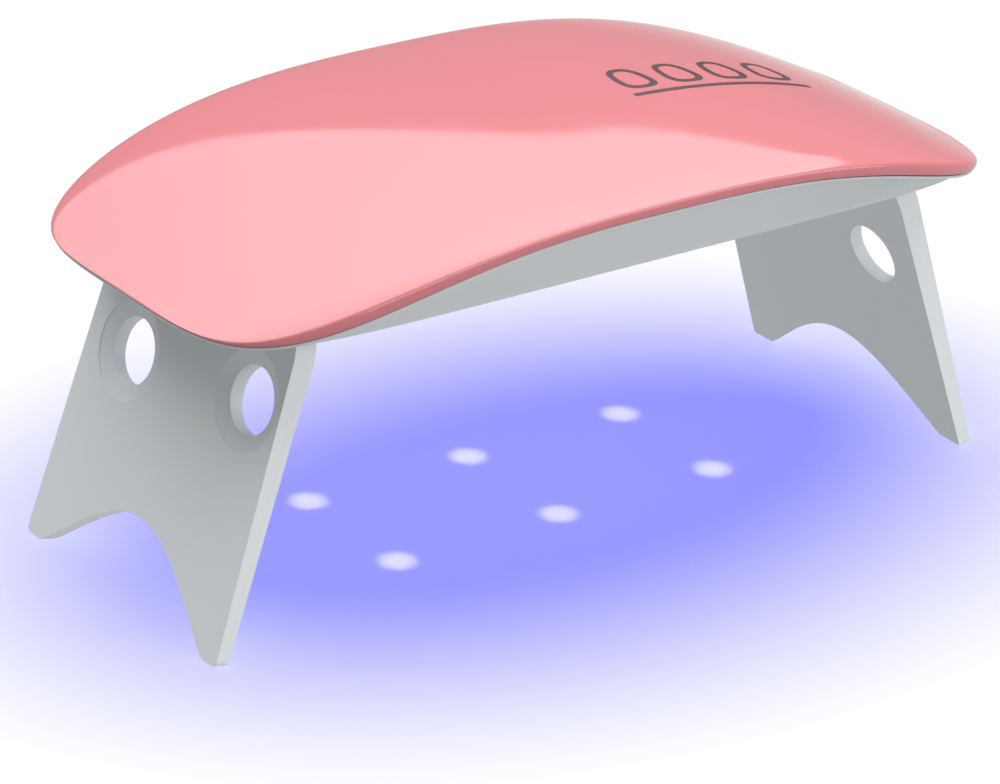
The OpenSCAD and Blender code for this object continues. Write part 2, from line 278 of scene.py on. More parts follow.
@dataclass(frozen=True)
class Moulding:
    """A moulded plastic.

    Attributes:
        name: The material's name.
        colour: Its linear colour.
        rough: Its middle roughness.
        mottle: How far the colour drifts, as a share.
        grain: The size of the mould's texture, in millimetres.
        grain_depth: The depth of that texture, in millimetres.
        specular: The strength of its plain reflection.
    """

    name: str
    colour: Colour
    rough: float = 0.45
    mottle: float = 0.02
    grain: float = 0.35
    grain_depth: float = 0.01
    specular: float = 0.5

    def build(self) -> bpy.types.Material:
        """Makes the material."""
        recipe = Recipe(self.name)
        recipe.constants(Specular_IOR_Level=self.specular, IOR=1.5)
        drift = recipe.noise(24.0, 3.0)
        recipe.colour(
            recipe.tint(drift, scaled(self.colour, 1 - self.mottle), scaled(self.colour, 1 + self.mottle))
        )
        recipe.roughness(recipe.spread(recipe.noise(6.0, 4.0), self.rough * 0.88, self.rough * 1.12))
        recipe.relief(recipe.noise(self.grain, 3.0), self.grain_depth)
        return recipe.material


@dataclass(frozen=True)
class GlossShell:
    """The high-gloss moulded plastic of the cover, with a faint ripple."""

    name: str
    colour: Colour
    rough: float = 0.07
    ripple_depth: float = 0.0012

    def build(self) -> bpy.types.Material:
        """Makes the material."""
        recipe = Recipe(self.name)
        recipe.constants(Specular_IOR_Level=0.5, IOR=1.5, Coat_Weight=0.0)
        drift = recipe.noise(40.0, 2.0)
        recipe.colour(recipe.tint(drift, scaled(self.colour, 0.985), scaled(self.colour, 1.015)))
        recipe.roughness(recipe.spread(recipe.noise(9.0, 5.0), self.rough * 0.8, self.rough * 1.25))
        recipe.relief(recipe.noise(2.2, 2.0), self.ripple_depth)
        return recipe.material


@dataclass(frozen=True)
class BareMetal:
    """A drawn, rolled or plated metal with fine lines along one axis."""

    name: str
    colour: Colour
    rough: float = 0.28
    lines: Sequence[float] = (1, 1, 1)
    line_size: float = 0.12

    def build(self) -> bpy.types.Material:
        """Makes the material."""
        recipe = Recipe(self.name)
        recipe.constants(Metallic=1.0)
        recipe.colour(
            recipe.tint(recipe.noise(3.0, 3.0), scaled(self.colour, 0.92), scaled(self.colour, 1.04))
        )
        fine = recipe.noise(self.line_size, 3.0, self.lines)
        recipe.roughness(recipe.spread(fine, self.rough * 0.75, self.rough * 1.3))
        recipe.relief(fine, 0.003, 0.6)
        return recipe.material


@dataclass(frozen=True)
class BoardMask:
    """A circuit board's lacquer over its copper lines."""

    name: str
    colour: Colour
    line_colour: Colour
    pitch: float = 2.4

    def build(self) -> bpy.types.Material:
        """Makes the material."""
        recipe = Recipe(self.name)
        recipe.constants(Specular_IOR_Level=0.5)
        brick = recipe.tree.nodes.new("ShaderNodeTexBrick")
        brick.inputs["Scale"].default_value = 1 / (self.pitch * MM)
        brick.inputs["Mortar Size"].default_value = 0.06
        brick.inputs["Color1"].default_value = self.colour
        brick.inputs["Color2"].default_value = scaled(self.colour, 1.12)
        brick.inputs["Mortar"].default_value = self.line_colour
        recipe.link(recipe.place(), brick.inputs["Vector"])
        recipe.colour(brick.outputs["Color"])
        recipe.roughness(recipe.spread(recipe.noise(4.0, 3.0), 0.28, 0.42))
        recipe.relief(brick.outputs["Fac"], 0.02, 0.5)
        return recipe.material


@dataclass(frozen=True)
class ClearDome:
    """Clear silicone or acrylic, which may glow from within."""

    name: str
    colour: Colour
    glow: Colour = (0.0, 0.0, 0.0, 1.0)
    glow_strength: float = 0.0
    through: float = 0.85

    def build(self) -> bpy.types.Material:
        """Makes the material."""
        recipe = Recipe(self.name)
        recipe.constants(
            Transmission_Weight=self.through,
            IOR=1.41,
            Emission_Color=self.glow,
            Emission_Strength=self.glow_strength,
        )
        recipe.colour(
            recipe.tint(recipe.noise(1.2, 2.0), scaled(self.colour, 0.97), scaled(self.colour, 1.0))
        )
        recipe.roughness(recipe.spread(recipe.noise(0.8, 3.0), 0.03, 0.09))
        recipe.relief(recipe.noise(0.5, 2.0), 0.002)
        return recipe.material


# ---------------------------------------------------------------------------
# Blanks: closed blocks shaped by operators, in millimetres
# ---------------------------------------------------------------------------


class Blank:
    """A closed block of material on the bench, in millimetres."""

    def __init__(self, bm: bmesh.types.BMesh) -> None:
        """Takes over a bmesh."""
        self.bm = bm

    @classmethod
    def bar(cls, outline: Sequence[Point2], low: float, high: float, axis: Axis = Axis.Z) -> "Blank":
        """Draws an outline out into a bar.

        Args:
            outline: Corners, anticlockwise. They lie in XY for Z, in XZ for Y and in YZ for X.
            low: Where the bar starts along the axis.
            high: Where the bar ends along the axis.
            axis: The direction of the bar.

        Returns:
            The bar.
        """
        bm = bmesh.new()
        spots = {
            Axis.X: lambda p: (low, p[0], p[1]),
            Axis.Y: lambda p: (p[0], low, p[1]),
            Axis.Z: lambda p: (p[0], p[1], low),
        }
        steps = {Axis.X: (high - low, 0, 0), Axis.Y: (0, high - low, 0), Axis.Z: (0, 0, high - low)}
        face = bm.faces.new([bm.verts.new(spots[axis](p)) for p in outline])
        drawn = bmesh.ops.extrude_face_region(bm, geom=[face])["geom"]
        moved = [part for part in drawn if isinstance(part, bmesh.types.BMVert)]
        bmesh.ops.translate(bm, vec=steps[axis], verts=moved)
        blank = cls(bm)
        blank.closed()
        return blank

    @classmethod
    def block(cls, low: Sequence[float], high: Sequence[float]) -> "Blank":
        """Makes a square-cornered block between two corners."""
        outline = [(low[0], low[1]), (high[0], low[1]), (high[0], high[1]), (low[0], high[1])]
        return cls.bar(outline, low[2], high[2])

    @classmethod
    def turned(cls, profile: Sequence[Point2], steps: int = 64) -> "Blank":
        """Turns a profile round the upright axis.

        Args:
            profile: Radius and height of each point, from the axis back to the axis.
            steps: Faces round the axis.

        Returns:
            The turned block.
        """
        bm = bmesh.new()
        verts = [bm.verts.new((r, 0, z)) for r, z in profile]
        edges = [bm.edges.new(pair) for pair in zip(verts, verts[1:])]
        bmesh.ops.spin(
            bm,
            geom=[*verts, *edges],
            cent=(0, 0, 0),
            axis=(0, 0, 1),
            angle=math.tau,
            steps=steps,
            use_merge=True,
        )
        blank = cls(bm)
        blank.closed()
        return blank

    @classmethod
    def sleeve(cls, rows: Sequence[Row], steps: int, ring: bool) -> "Blank":
        """Spins a straight sleeve with one row per curve, then lays each row on its curve.

        Args:
            rows: For each row, the curve that gives a point at an angle in radians.
            steps: Faces round the sleeve.
            ring: Whether the last row joins the first. If not, both ends close at a point.

        Returns:
            The closed sleeve.
        """
        bm = bmesh.new()
        verts = [bm.verts.new((1, 0, i)) for i in range(len(rows))]
        edges = [bm.edges.new(pair) for pair in zip(verts, verts[1:])]
        if ring:
            edges.append(bm.edges.new((verts[-1], verts[0])))
        bmesh.ops.spin(
            bm,
            geom=[*verts, *edges],
            cent=(0, 0, 0),
            axis=(0, 0, 1),
            angle=math.tau,
            steps=steps,
            use_merge=True,
        )
        for vert in bm.verts:
            vert.co = rows[round(vert.co.z)](math.atan2(vert.co.y, vert.co.x))
        blank = cls(bm)
        blank.closed()
        return blank

    def closed(self) -> None:
        """Merges doubles and turns the faces outwards."""
        bmesh.ops.remove_doubles(self.bm, verts=self.bm.verts, dist=1e-4)
        bmesh.ops.recalc_face_normals(self.bm, faces=self.bm.faces)

    def moved(self, x: float = 0.0, y: float = 0.0, z: float = 0.0) -> "Blank":
        """Shifts the blank and gives it back."""
        bmesh.ops.translate(self.bm, vec=(x, y, z), verts=self.bm.verts)
        return self

    def rotated(self, degrees: float, axis: Axis) -> "Blank":
        """Turns the blank about an axis through the origin and gives it back."""
        turn = Matrix.Rotation(math.radians(degrees), 3, axis.value)
        bmesh.ops.rotate(self.bm, cent=(0, 0, 0), matrix=turn, verts=self.bm.verts)
        return self

    def placed(self, matrix: Matrix) -> "Blank":
        """Moves the blank by a matrix and gives it back."""
        bmesh.ops.transform(self.bm, matrix=matrix, verts=self.bm.verts)
        return self

    def copied(self) -> "Blank":
        """Gives a copy."""
        return Blank(self.bm.copy())

    def loose(self, *others: "Blank") -> "Blank":
        """Takes other blanks into this one without joining their skins."""
        for other in others:
            mesh = bpy.data.meshes.new("carry")
            other.bm.to_mesh(mesh)
            self.bm.from_mesh(mesh)
            bpy.data.meshes.remove(mesh)
        return self

    def shaped(self, how: Cut, *tools: "Blank") -> "Blank":
        """Cuts this blank with others, joins them on, or keeps what they share.

        Args:
            how: What the tools do.
            *tools: The blanks used as tools, one after the other.

        Returns:
            This blank, shaped.
        """
        for tool in tools:
            pair = []
            for part in (self, tool):
                mesh = bpy.data.meshes.new("bench")
                part.bm.to_mesh(mesh)
                item = bpy.data.objects.new("bench", mesh)
                bpy.context.scene.collection.objects.link(item)
                pair.append(item)
            modifier = pair[0].modifiers.new("shape", "BOOLEAN")
            modifier.operation = how.value
            modifier.solver = "EXACT"
            modifier.object = pair[1]
            graph = bpy.context.evaluated_depsgraph_get()
            result = bpy.data.meshes.new_from_object(pair[0].evaluated_get(graph))
            self.bm.clear()
            self.bm.from_mesh(result)
            for item in pair:
                mesh = item.data
                bpy.data.objects.remove(item)
                bpy.data.meshes.remove(mesh)
            bpy.data.meshes.remove(result)
        bmesh.ops.remove_doubles(self.bm, verts=self.bm.verts, dist=2e-4)
        return self

    def flattened(self, degrees: float = 0.2) -> "Blank":
        """Merges faces that lie in one plane and gives the blank back."""
        bmesh.ops.dissolve_limit(
            self.bm,
            angle_limit=math.radians(degrees),
            verts=self.bm.verts,
            edges=self.bm.edges,
        )
        return self

    def softened(self, width: float, crease: float = 35.0, segments: int = 2) -> "Blank":
        """Rounds every edge that is sharper than an angle.

        Args:
            width: The rounding's width, in millimetres.
            crease: Edges sharper than this many degrees are rounded.
            segments: Faces across the rounding.

        Returns:
            This blank.
        """
        sharp = [
            edge
            for edge in self.bm.edges
            if edge.is_manifold and edge.calc_face_angle(0.0) > math.radians(crease)
        ]
        bmesh.ops.bevel(
            self.bm,
            geom=sharp,
            offset=width,
            offset_type="OFFSET",
            affect="EDGES",
            segments=segments,
            profile=0.5,
            material=-1,
            clamp_overlap=True,
        )
        return self


@dataclass(frozen=True)
class EdgeBreak:
    """The small rounding that a mould leaves on every edge.

    Attributes:
        width: Its width, in millimetres.
        crease: Edges sharper than this many degrees are rounded.
        segments: Faces across the rounding.
    """

    width: float = 0.2
    crease: float = 35.0
    segments: int = 2


@dataclass(frozen=True)
class Piece:
    """How a finished blank joins the lamp.

    Attributes:
        name: The piece's name.
        body: The body it rides on.
        slot: The name of its material slot; it is not used.
        replaces: The CAD nodes that it stands for.
        edge: The rounding of its edges, if they are still sharp.
        crease: Edges sharper than this many degrees are shaded sharp.
    """

    name: str
    body: Body
    slot: str
    replaces: tuple[str, ...] = ()
    edge: Optional[EdgeBreak] = None
    crease: float = 32.0

    def finish(self, blank: Blank, material: bpy.types.Material) -> bpy.types.Object:
        """Turns a blank into a piece of the lamp.

        Args:
            blank: The blank, in millimetres.
            material: Its material.

        Returns:
            The piece, in metres, at the origin.
        """
        bmesh.ops.scale(blank.bm, vec=(MM, MM, MM), verts=blank.bm.verts)
        mesh = bpy.data.meshes.new(self.name)
        blank.bm.to_mesh(mesh)
        blank.bm.free()
        mesh.materials.append(material)
        item = bpy.data.objects.new(self.name, mesh)
        bpy.context.scene.collection.objects.link(item)
        mesh.shade_smooth()
        mesh.set_sharp_from_angle(angle=math.radians(self.crease))
        if self.edge is not None:
            bevel = item.modifiers.new("edge break", "BEVEL")
            bevel.width = self.edge.width * MM
            bevel.segments = self.edge.segments
            bevel.limit_method = "ANGLE"
            bevel.angle_limit = math.radians(self.edge.crease)
            bevel.profile = 0.5
            bevel.harden_normals = False
            bevel.use_clamp_overlap = True
            weigh = item.modifiers.new("even shading", "WEIGHTED_NORMAL")
            weigh.keep_sharp = True
            weigh.weight = 80
        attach(item, self.body.value)
        if self.replaces:
            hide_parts(*self.replaces)
        return item


def circle(radius: float, steps: int = 64, centre: Point2 = (0, 0)) -> list[Point2]:
    """Gives the corners of a round outline.

    Args:
        radius: Its radius.
        steps: How many corners.
        centre: Its middle.

    Returns:
        The corners, anticlockwise.
    """
    turns = [math.tau * i / steps for i in range(steps)]
    return [(centre[0] + radius * math.cos(a), centre[1] + radius * math.sin(a)) for a in turns]


def pill(width: float, height: float, steps: int = 24) -> list[Point2]:
    """Gives the corners of a bar with round ends.

    Args:
        width: Its whole width.
        height: Its height.
        steps: Corners on each round end.

    Returns:
        The corners, anticlockwise.
    """
    reach = (width - height) / 2
    corners = []
    for side, start in ((1, -90), (-1, 90)):
        for i in range(steps + 1):
            turn = math.radians(start + 180 * i / steps)
            corners.append((side * reach + height / 2 * math.cos(turn), height / 2 * math.sin(turn)))
    return corners


def rounded_box(half_x: float, half_y: float, radius: float, steps: int = 8) -> list[Point2]:
    """Gives the corners of a rectangle with rounded corners.

    Args:
        half_x: Half its width.
        half_y: Half its depth.
        radius: The corners' radius.
        steps: Points on each corner.

    Returns:
        The corners, anticlockwise.
    """
    corners = []
    for k, (sx, sy) in enumerate(((1, 1), (-1, 1), (-1, -1), (1, -1))):
        for i in range(steps + 1):
            turn = math.radians(90 * k + 90 * i / steps)
            corners.append(
                (
                    sx * (half_x - radius) + radius * math.cos(turn),
                    sy * (half_y - radius) + radius * math.sin(turn),
                )
            )
    return corners


# ---------------------------------------------------------------------------
# The body's form
# ---------------------------------------------------------------------------


@dataclass(frozen=True)
class BodyForm:
    """The curves that the cover and the housing share, in millimetres.

    Attributes:
        half_l: Half the cover's length.
        half_w: Half its width.
        cover_n: How square its outline is.
        base_half_l: Half the underside's length.
        base_half_w: Half its width.
        base_n: How square its outline is.
        base_h: Height of the underside above the table.
        lip_h: Height of the housing's lip.
        lip_inset: How far the lip stays inside the cover.
        lip_step: How far the band starts behind the lip.
        joint_gap: The gap between cover and lip.
        arch_h: How far the parting line arches up.
        arch_n: Shape of that arch.
        arch_k: Shape of that arch at its ends.
        crown_h: Height of the crown above the underside.
        crown_n: Shape of the crown line.
        tip_h: Height of the dome over the two ends.
        side_bend: How fast the dome falls away from its crown line, per millimetre.
        edge_blend: How softly the dome runs out where it meets the parting line.
        section_n: How tightly the cover's edge turns down to the parting line.
        wall: The cover's thickness.
        min_rise: The least height of the inner skin above the parting line.
        steps: Faces round the outline.
    """

    half_l: float = 66.5
    half_w: float = 34.0
    cover_n: float = 4.2
    base_half_l: float = 65.2
    base_half_w: float = 27.2
    base_n: float = 7.0
    base_h: float = 44.6
    lip_h: float = 0.6
    lip_inset: float = 0.3
    lip_step: float = 0.9
    joint_gap: float = 0.15
    arch_h: float = 9.8
    arch_n: float = 2.94
    arch_k: float = 1.93
    crown_h: float = 14.6
    crown_n: float = 2.68
    tip_h: float = 0.3
    side_bend: float = 0.002
    edge_blend: float = 0.3
    section_n: float = 9.0
    wall: float = 1.1
    min_rise: float = 0.15
    steps: int = 288

    @property
    def rim_z(self) -> float:
        """Height of the parting line at the two ends."""
        return self.base_h + self.lip_h

    @staticmethod
    def outline(a: float, b: float, n: float, turn: float) -> Point2:
        """Gives a point on a squared oval.

        Args:
            a: Half its length.
            b: Half its width.
            n: How square it is.
            turn: The angle round it, in radians.

        Returns:
            The point.
        """
        c = math.cos(turn)
        s = math.sin(turn)
        shrink = (abs(c) ** n + abs(s) ** n) ** (1 / n)
        return (a * c / shrink, b * s / shrink)

    def parting_z(self, x: float) -> float:
        """Height of the parting line at a place along the lamp."""
        along = min(1.0, abs(x) / self.half_l)
        return self.rim_z + self.arch_h * (1 - along**self.arch_n) ** self.arch_k

    def dome_rise(self, x: float, y: float) -> float:
        """Height of the dome above the parting line over a place on the table."""
        along = min(1.0, abs(x) / self.half_l)
        crown = (self.crown_h - self.lip_h - self.tip_h) * (1 - along**self.crown_n)
        dome = self.rim_z + self.tip_h - self.side_bend * y * y + crown
        rise = dome - self.parting_z(x)
        return (rise + math.sqrt(rise * rise + 4 * self.edge_blend * self.edge_blend)) / 2

    def cover_z(self, x: float, y: float) -> float:
        """Height of the cover's skin over a place on the table."""
        squared = (abs(x) / self.half_l) ** self.cover_n + (abs(y) / self.half_w) ** self.cover_n
        reach = min(1.0, squared ** (1 / self.cover_n))
        turn_down = (1 - reach**self.section_n) ** (1 / self.section_n)
        return self.parting_z(x) + self.dome_rise(x, y) * turn_down

    def skin_row(self, reach: float, wall: float) -> Row:
        """Gives one ring of the cover's outer or inner skin.

        Args:
            reach: How far out the ring lies, from 0 at the middle to 1 at the rim.
            wall: How far the ring lies inside the outer skin.

        Returns:
            The ring as a curve.
        """

        def at(turn: float) -> Vector:
            x, y = self.outline(self.half_l * reach, self.half_w * reach, self.cover_n, turn)
            height = self.cover_z(x, y)
            if wall:
                height = max(self.parting_z(x) + self.min_rise, height - wall)
            return Vector((x * (1 - wall / self.half_l), y * (1 - wall / self.half_w), height))

        return at

    def rim_row(self, inset: float, rise: float) -> Row:
        """Gives one ring that follows the parting line.

        Args:
            inset: How far it lies inside the cover's outline.
            rise: How far it lies above the parting line.

        Returns:
            The ring as a curve.
        """
        a = self.half_l - inset
        b = self.half_w - inset

        def at(turn: float) -> Vector:
            x, y = self.outline(a, b, self.cover_n, turn)
            return Vector((x, y, self.parting_z(x * self.half_l / a) + rise))

        return at

    def base_row(self, inset: float, rise: float) -> Row:
        """Gives one level ring round the underside.

        Args:
            inset: How far it lies inside the underside's outline.
            rise: How far it lies above the underside.

        Returns:
            The ring as a curve.
        """
        a = self.base_half_l - inset
        b = self.base_half_w - inset

        def at(turn: float) -> Vector:
            x, y = self.outline(a, b, self.base_n, turn)
            return Vector((x, y, self.base_h + rise))

        return at

    @staticmethod
    def between(first: Row, second: Row, share: float) -> Row:
        """Gives a ring part of the way from one ring to another."""
        return lambda turn: first(turn).lerp(second(turn), share)


# ---------------------------------------------------------------------------
# Sub-assemblies
# ---------------------------------------------------------------------------


@dataclass(frozen=True)
class NailMark:
    """The mark printed on the cover: a row of nail outlines over a thin line, in millimetres.

    Attributes:
        form: The body's curves.
        middle: The mark's middle, along and across the cover.
        nails: How many nails there are.
        pitch: The distance between them.
        half_size: Half a nail's width and half its length.
        stroke: Thickness of the outlines.
        line_half: Half the line's length.
        line_drop: How far the line lies below the nails' middle.
        ink_t: How far the ink stands on the cover.
    """

    form: BodyForm
    middle: Point2 = (30.0, 0.4)
    nails: int = 4
    pitch: float = 8.2
    half_size: Point2 = (2.9, 3.9)
    stroke: float = 0.95
    line_half: float = 16.0
    line_drop: float = 5.8
    ink_t: float = 0.03

    def laid(self, x: float, y: float, lift: float) -> Vector:
        """Gives a point on or just under the cover's skin."""
        return Vector((x, y, self.form.cover_z(x, y) + lift))

    def nail_row(self, x: float, inset: float, lift: float) -> Row:
        """Gives one edge of a nail's outline.

        Args:
            x: The nail's place along the cover.
            inset: How far the edge lies inside the outline.
            lift: How far it lies above the cover.

        Returns:
            The edge as a curve.
        """

        def at(turn: float) -> Vector:
            half_w = self.half_size[0] - inset
            half_h = self.half_size[1] - inset
            across, up = self.form.outline(half_w, half_h, 2.8, turn)
            taper = 1 - 0.16 * up / half_h
            return self.laid(x + across * taper, self.middle[1] + up, lift)

        return at

    def nail(self, x: float) -> Blank:
        """Builds one nail outline as a closed ring of ink."""
        corners = ((0, 1), (self.stroke, 1), (self.stroke, -1), (0, -1))
        rows = [self.nail_row(x, inset, side * self.ink_t) for inset, side in corners]
        return Blank.sleeve(rows, 72, ring=True)

    def line(self) -> Blank:
        """Builds the line under the nails."""
        bm = bmesh.new()
        bmesh.ops.create_grid(bm, x_segments=80, y_segments=2, size=1.0)
        reach = max(vert.co.x for vert in bm.verts)
        bmesh.ops.scale(bm, vec=(self.line_half / reach, self.stroke / 2 / reach, 1), verts=bm.verts)
        drawn = bmesh.ops.extrude_face_region(bm, geom=bm.faces[:])["geom"]
        upper = [part for part in drawn if isinstance(part, bmesh.types.BMVert)]
        bmesh.ops.translate(bm, vec=(0, 0, 1), verts=upper)
        for vert in bm.verts:
            x = self.middle[0] + vert.co.x
            y = self.middle[1] - self.line_drop + vert.co.y
            vert.co = self.laid(x, y, self.ink_t if vert.co.z > 0.5 else -self.ink_t)
        blank = Blank(bm)
        blank.closed()
        return blank

    def build(self) -> Blank:
        """Builds the whole mark."""
        first = self.middle[0] - self.pitch * (self.nails - 1) / 2
        row = [self.nail(first + self.pitch * k) for k in range(self.nails)]
        return self.line().loose(*row)


@dataclass
class CoverShell:
    """The glossy domed cover and the line mark printed on it.

    Attributes:
        form: The body's curves.
        finish: The cover's plastic.
        ink: The print's colour.
        lip_round: The rounding of the cover's lower edge.
    """

    form: BodyForm
    finish: GlossShell
    ink: Moulding
    lip_round: float = 0.22

    def reaches(self) -> list[float]:
        """Gives the spacing of the rings, closer towards the rim."""
        inner = [0.0, 0.01, 0.03, *[0.05 * k for k in range(1, 18)]]
        outer = [math.sin(math.radians(a)) ** (2 / self.form.section_n) for a in range(30, 90, 2)]
        return inner + [r for r in outer if r > inner[-1] + 0.01]

    def shell(self) -> Blank:
        """Builds the cover as one closed skin with a rounded lower edge."""
        form = self.form
        reaches = self.reaches()
        drop = self.lip_round
        rows = [form.skin_row(r, 0) for r in reaches]
        rows += [
            form.rim_row(0, drop),
            form.rim_row(drop * 0.3, drop * 0.3),
            form.rim_row(drop, 0),
            form.rim_row(form.wall - drop * 0.5, 0),
            form.rim_row(form.wall, drop * 0.5),
        ]
        rows += [form.skin_row(r, form.wall) for r in reversed(reaches)]
        return Blank.sleeve(rows, form.steps, ring=False)

    def build(self) -> list[bpy.types.Object]:
        """Makes the cover's pieces.

        Returns:
            The pieces.
        """
        cover = Piece("cover_shell", Body.HOUSING, "cover", ("top_cover",), crease=50.0)
        mark = Piece("cover_mark", Body.HOUSING, "cover")
        return [
            cover.finish(self.shell(), self.finish.build()),
            mark.finish(NailMark(self.form).build(), self.ink.build()),
        ]


@dataclass
class LegRecess:
    """The recess in the underside that takes the folded legs, in millimetres.

    Attributes:
        hinge_x: The hinge's distance from the middle.
        hinge_z: The hinge's height.
        mid_w: Half its width at the middle.
        shoulder: Its corner beside the hinge.
        end: Its corner at the end.
        wall: Thickness of its wall.
        hinge_ceiling: Height of its ceiling over the hinges.
        main_ceiling: Height of its ceiling between them.
        main_x: Where the ceiling steps.
        floor_top: Top of the floor above it.
    """

    hinge_x: float = 49.856
    hinge_z: float = 46.5
    mid_w: float = 24.5
    shoulder: Point2 = (48.456, 22.9)
    end: Point2 = (52.596, 20.9)
    wall: float = 0.9
    hinge_ceiling: float = 48.2
    main_ceiling: float = 48.8
    main_x: float = 45.5
    floor_top: float = 50.0

    def outline(self, grow: float) -> list[Point2]:
        """Gives the recess's corners, grown outwards by a wall."""
        corner = [
            (0, self.mid_w + grow),
            (self.shoulder[0] + grow / 2, self.shoulder[1] + grow),
            (self.end[0] + grow, self.end[1] + grow),
        ]
        upper = [corner[2], corner[1], corner[0], (-corner[1][0], corner[1][1]), (-corner[2][0], corner[2][1])]
        lower = [(-x, -y) for x, y in upper]
        return upper + lower


@dataclass
class HousingTray:
    """The flared band, the underside with its recess and the openings in both.

    Attributes:
        form: The body's curves.
        recess: The recess for the legs.
        finish: The housing's plastic. It is the legs' grey made darker, as painted shade for its band that faces
            down.
        band_wall: Thickness of the band.
        foot_round: Rounding between the band and the underside.
        floor_rise: How far the underside's plate sits above the band's lower edge.
        port_z: Height of the openings at the rear.
    """

    form: BodyForm
    recess: LegRecess
    finish: Moulding
    band_wall: float = 2.2
    foot_round: float = 0.45
    floor_rise: float = 0.03
    port_z: float = 52.1

    def band(self) -> Blank:
        """Builds the flared band with its thin lip."""
        form = self.form
        low = form.base_row(0, self.foot_round)
        under = form.rim_row(form.lip_inset + form.lip_step, -(form.lip_h - 0.05))
        edge = 0.08
        rows = [
            form.base_row(self.band_wall, 0),
            form.rim_row(form.lip_inset + self.band_wall, -form.joint_gap),
            form.rim_row(form.lip_inset + edge, -form.joint_gap),
            form.rim_row(form.lip_inset, -form.joint_gap - edge),
            form.rim_row(form.lip_inset, -form.lip_h + 0.05 + edge),
            form.rim_row(form.lip_inset + edge, -form.lip_h + 0.05),
            under,
        ]
        rows += [form.between(under, low, share) for share in (0.02, 0.1, 0.3, 0.5, 0.7, 0.9)]
        turn = math.radians(30)
        rows += [low]
        for k in (1, 2, 3):
            slant = turn * k
            inset = self.foot_round * (1 - math.cos(slant))
            rise = self.foot_round * (1 - math.sin(slant))
            rows.append(form.base_row(inset, rise))
        return Blank.sleeve(rows, form.steps, ring=True)

    def floor(self) -> Blank:
        """Builds the underside's plate and the walls of the recess."""
        form = self.form
        recess = self.recess
        rim = [
            form.outline(form.base_half_l - 1.2, form.base_half_w - 1.2, form.base_n, math.tau * i / 192)
            for i in range(192)
        ]
        low = form.base_h + self.floor_rise
        plate = Blank.bar(rim, low, low + 0.7)
        shy = 0.02
        hinge_block = Blank.bar(recess.outline(recess.wall), low + shy / 2, recess.hinge_ceiling + 0.65)
        reach = recess.main_x + recess.wall
        main_block = Blank.bar(recess.outline(recess.wall + shy), low + shy, recess.floor_top)
        main_block.shaped(
            Cut.KEEP,
            Blank.block((-reach, -form.half_w, form.base_h - 1), (reach, form.half_w, recess.floor_top + 1)),
        )
        return plate.shaped(Cut.JOIN, hinge_block, main_block)

    def lugs(self) -> list[Blank]:
        """Builds the four lugs that hold the hinge rods."""
        recess = self.recess
        radius = 1.8
        lugs = []
        for side in SIDES:
            for end in SIDES:
                start = 18.8 if end > 0 else -20.6
                outline = [(radius * math.cos(a), radius * math.sin(a)) for a in
                           [math.radians(180 + 180 * i / 20) for i in range(21)]]
                top = recess.hinge_ceiling - recess.hinge_z + 0.1
                outline += [(radius, top), (-radius, top)]
                lug = Blank.bar(outline, start, start + 1.8, Axis.Y)
                lugs.append(lug.moved(x=side * recess.hinge_x, z=recess.hinge_z))
        return lugs

    def openings(self) -> list[Blank]:
        """Builds the tools that cut the recess, the windows, the screw holes and the ports."""
        form = self.form
        recess = self.recess
        reach = recess.main_x
        hinge_room = Blank.bar(recess.outline(0), form.base_h - 1, recess.hinge_ceiling)
        main_room = Blank.bar(recess.outline(-0.01), recess.hinge_ceiling - 0.5, recess.main_ceiling)
        main_room.shaped(
            Cut.KEEP,
            Blank.block(
                (-reach, -form.half_w, form.base_h - 2), (reach, form.half_w, recess.main_ceiling + 1)
            ),
        )
        tools = [hinge_room, main_room]
        ceiling = recess.main_ceiling
        windows = []
        for i in range(6):
            window = Blank.turned(
                [(0, -1), (3.35, -1), (3.35, 0.0), (3.2, 0.15), (3.2, 3), (0, 3)], 64
            )
            windows.append(window.moved(led_place(i)[0], led_place(i)[1], ceiling))
        for sx in SIDES:
            for sy in SIDES:
                hole = Blank.turned(
                    [(0, -0.5), (1.95, -0.5), (1.95, 0.0), (1.15, 0.95), (1.15, 3), (0, 3)], 48
                )
                windows.append(hole.moved(31 * sx, 19.5 * sy, ceiling))
        tools.append(windows[0].loose(*windows[1:]))
        ports = Blank.bar(pill(7.5, 3.1), 24, 40, Axis.Y).moved(9, 0, self.port_z)
        ports.loose(
            Blank.bar(pill(8.3, 3.1), 24, 40, Axis.Y).moved(-8, 0, self.port_z),
            Blank.bar(circle(0.9, 40), 24, 40, Axis.Y).moved(17, 0, self.port_z),
        )
        tools.append(ports)
        return tools

    def build(self) -> list[bpy.types.Object]:
        """Makes the housing's piece.

        Returns:
            The pieces.
        """
        lugs = self.lugs()
        hinge_room, main_room, windows, ports = self.openings()
        blank = self.floor().shaped(Cut.REMOVE, hinge_room, main_room)
        blank.shaped(Cut.JOIN, lugs[0].loose(*lugs[1:]))
        blank.shaped(Cut.REMOVE, windows)
        blank.loose(self.band().shaped(Cut.REMOVE, ports))
        piece = Piece("housing_tray", Body.HOUSING, "housing", ("lower_housing",), crease=28.0)
        return [piece.finish(blank, self.finish.build())]


def led_place(index: int) -> Point2:
    """Gives the place of one of the six LEDs.

    Args:
        index: The LED's number, from 0 to 5.

    Returns:
        Its place along and across the lamp, in millimetres.
    """
    return ((index % 3 - 1) * 28.0, (index // 3 - 0.5) * 22.0)


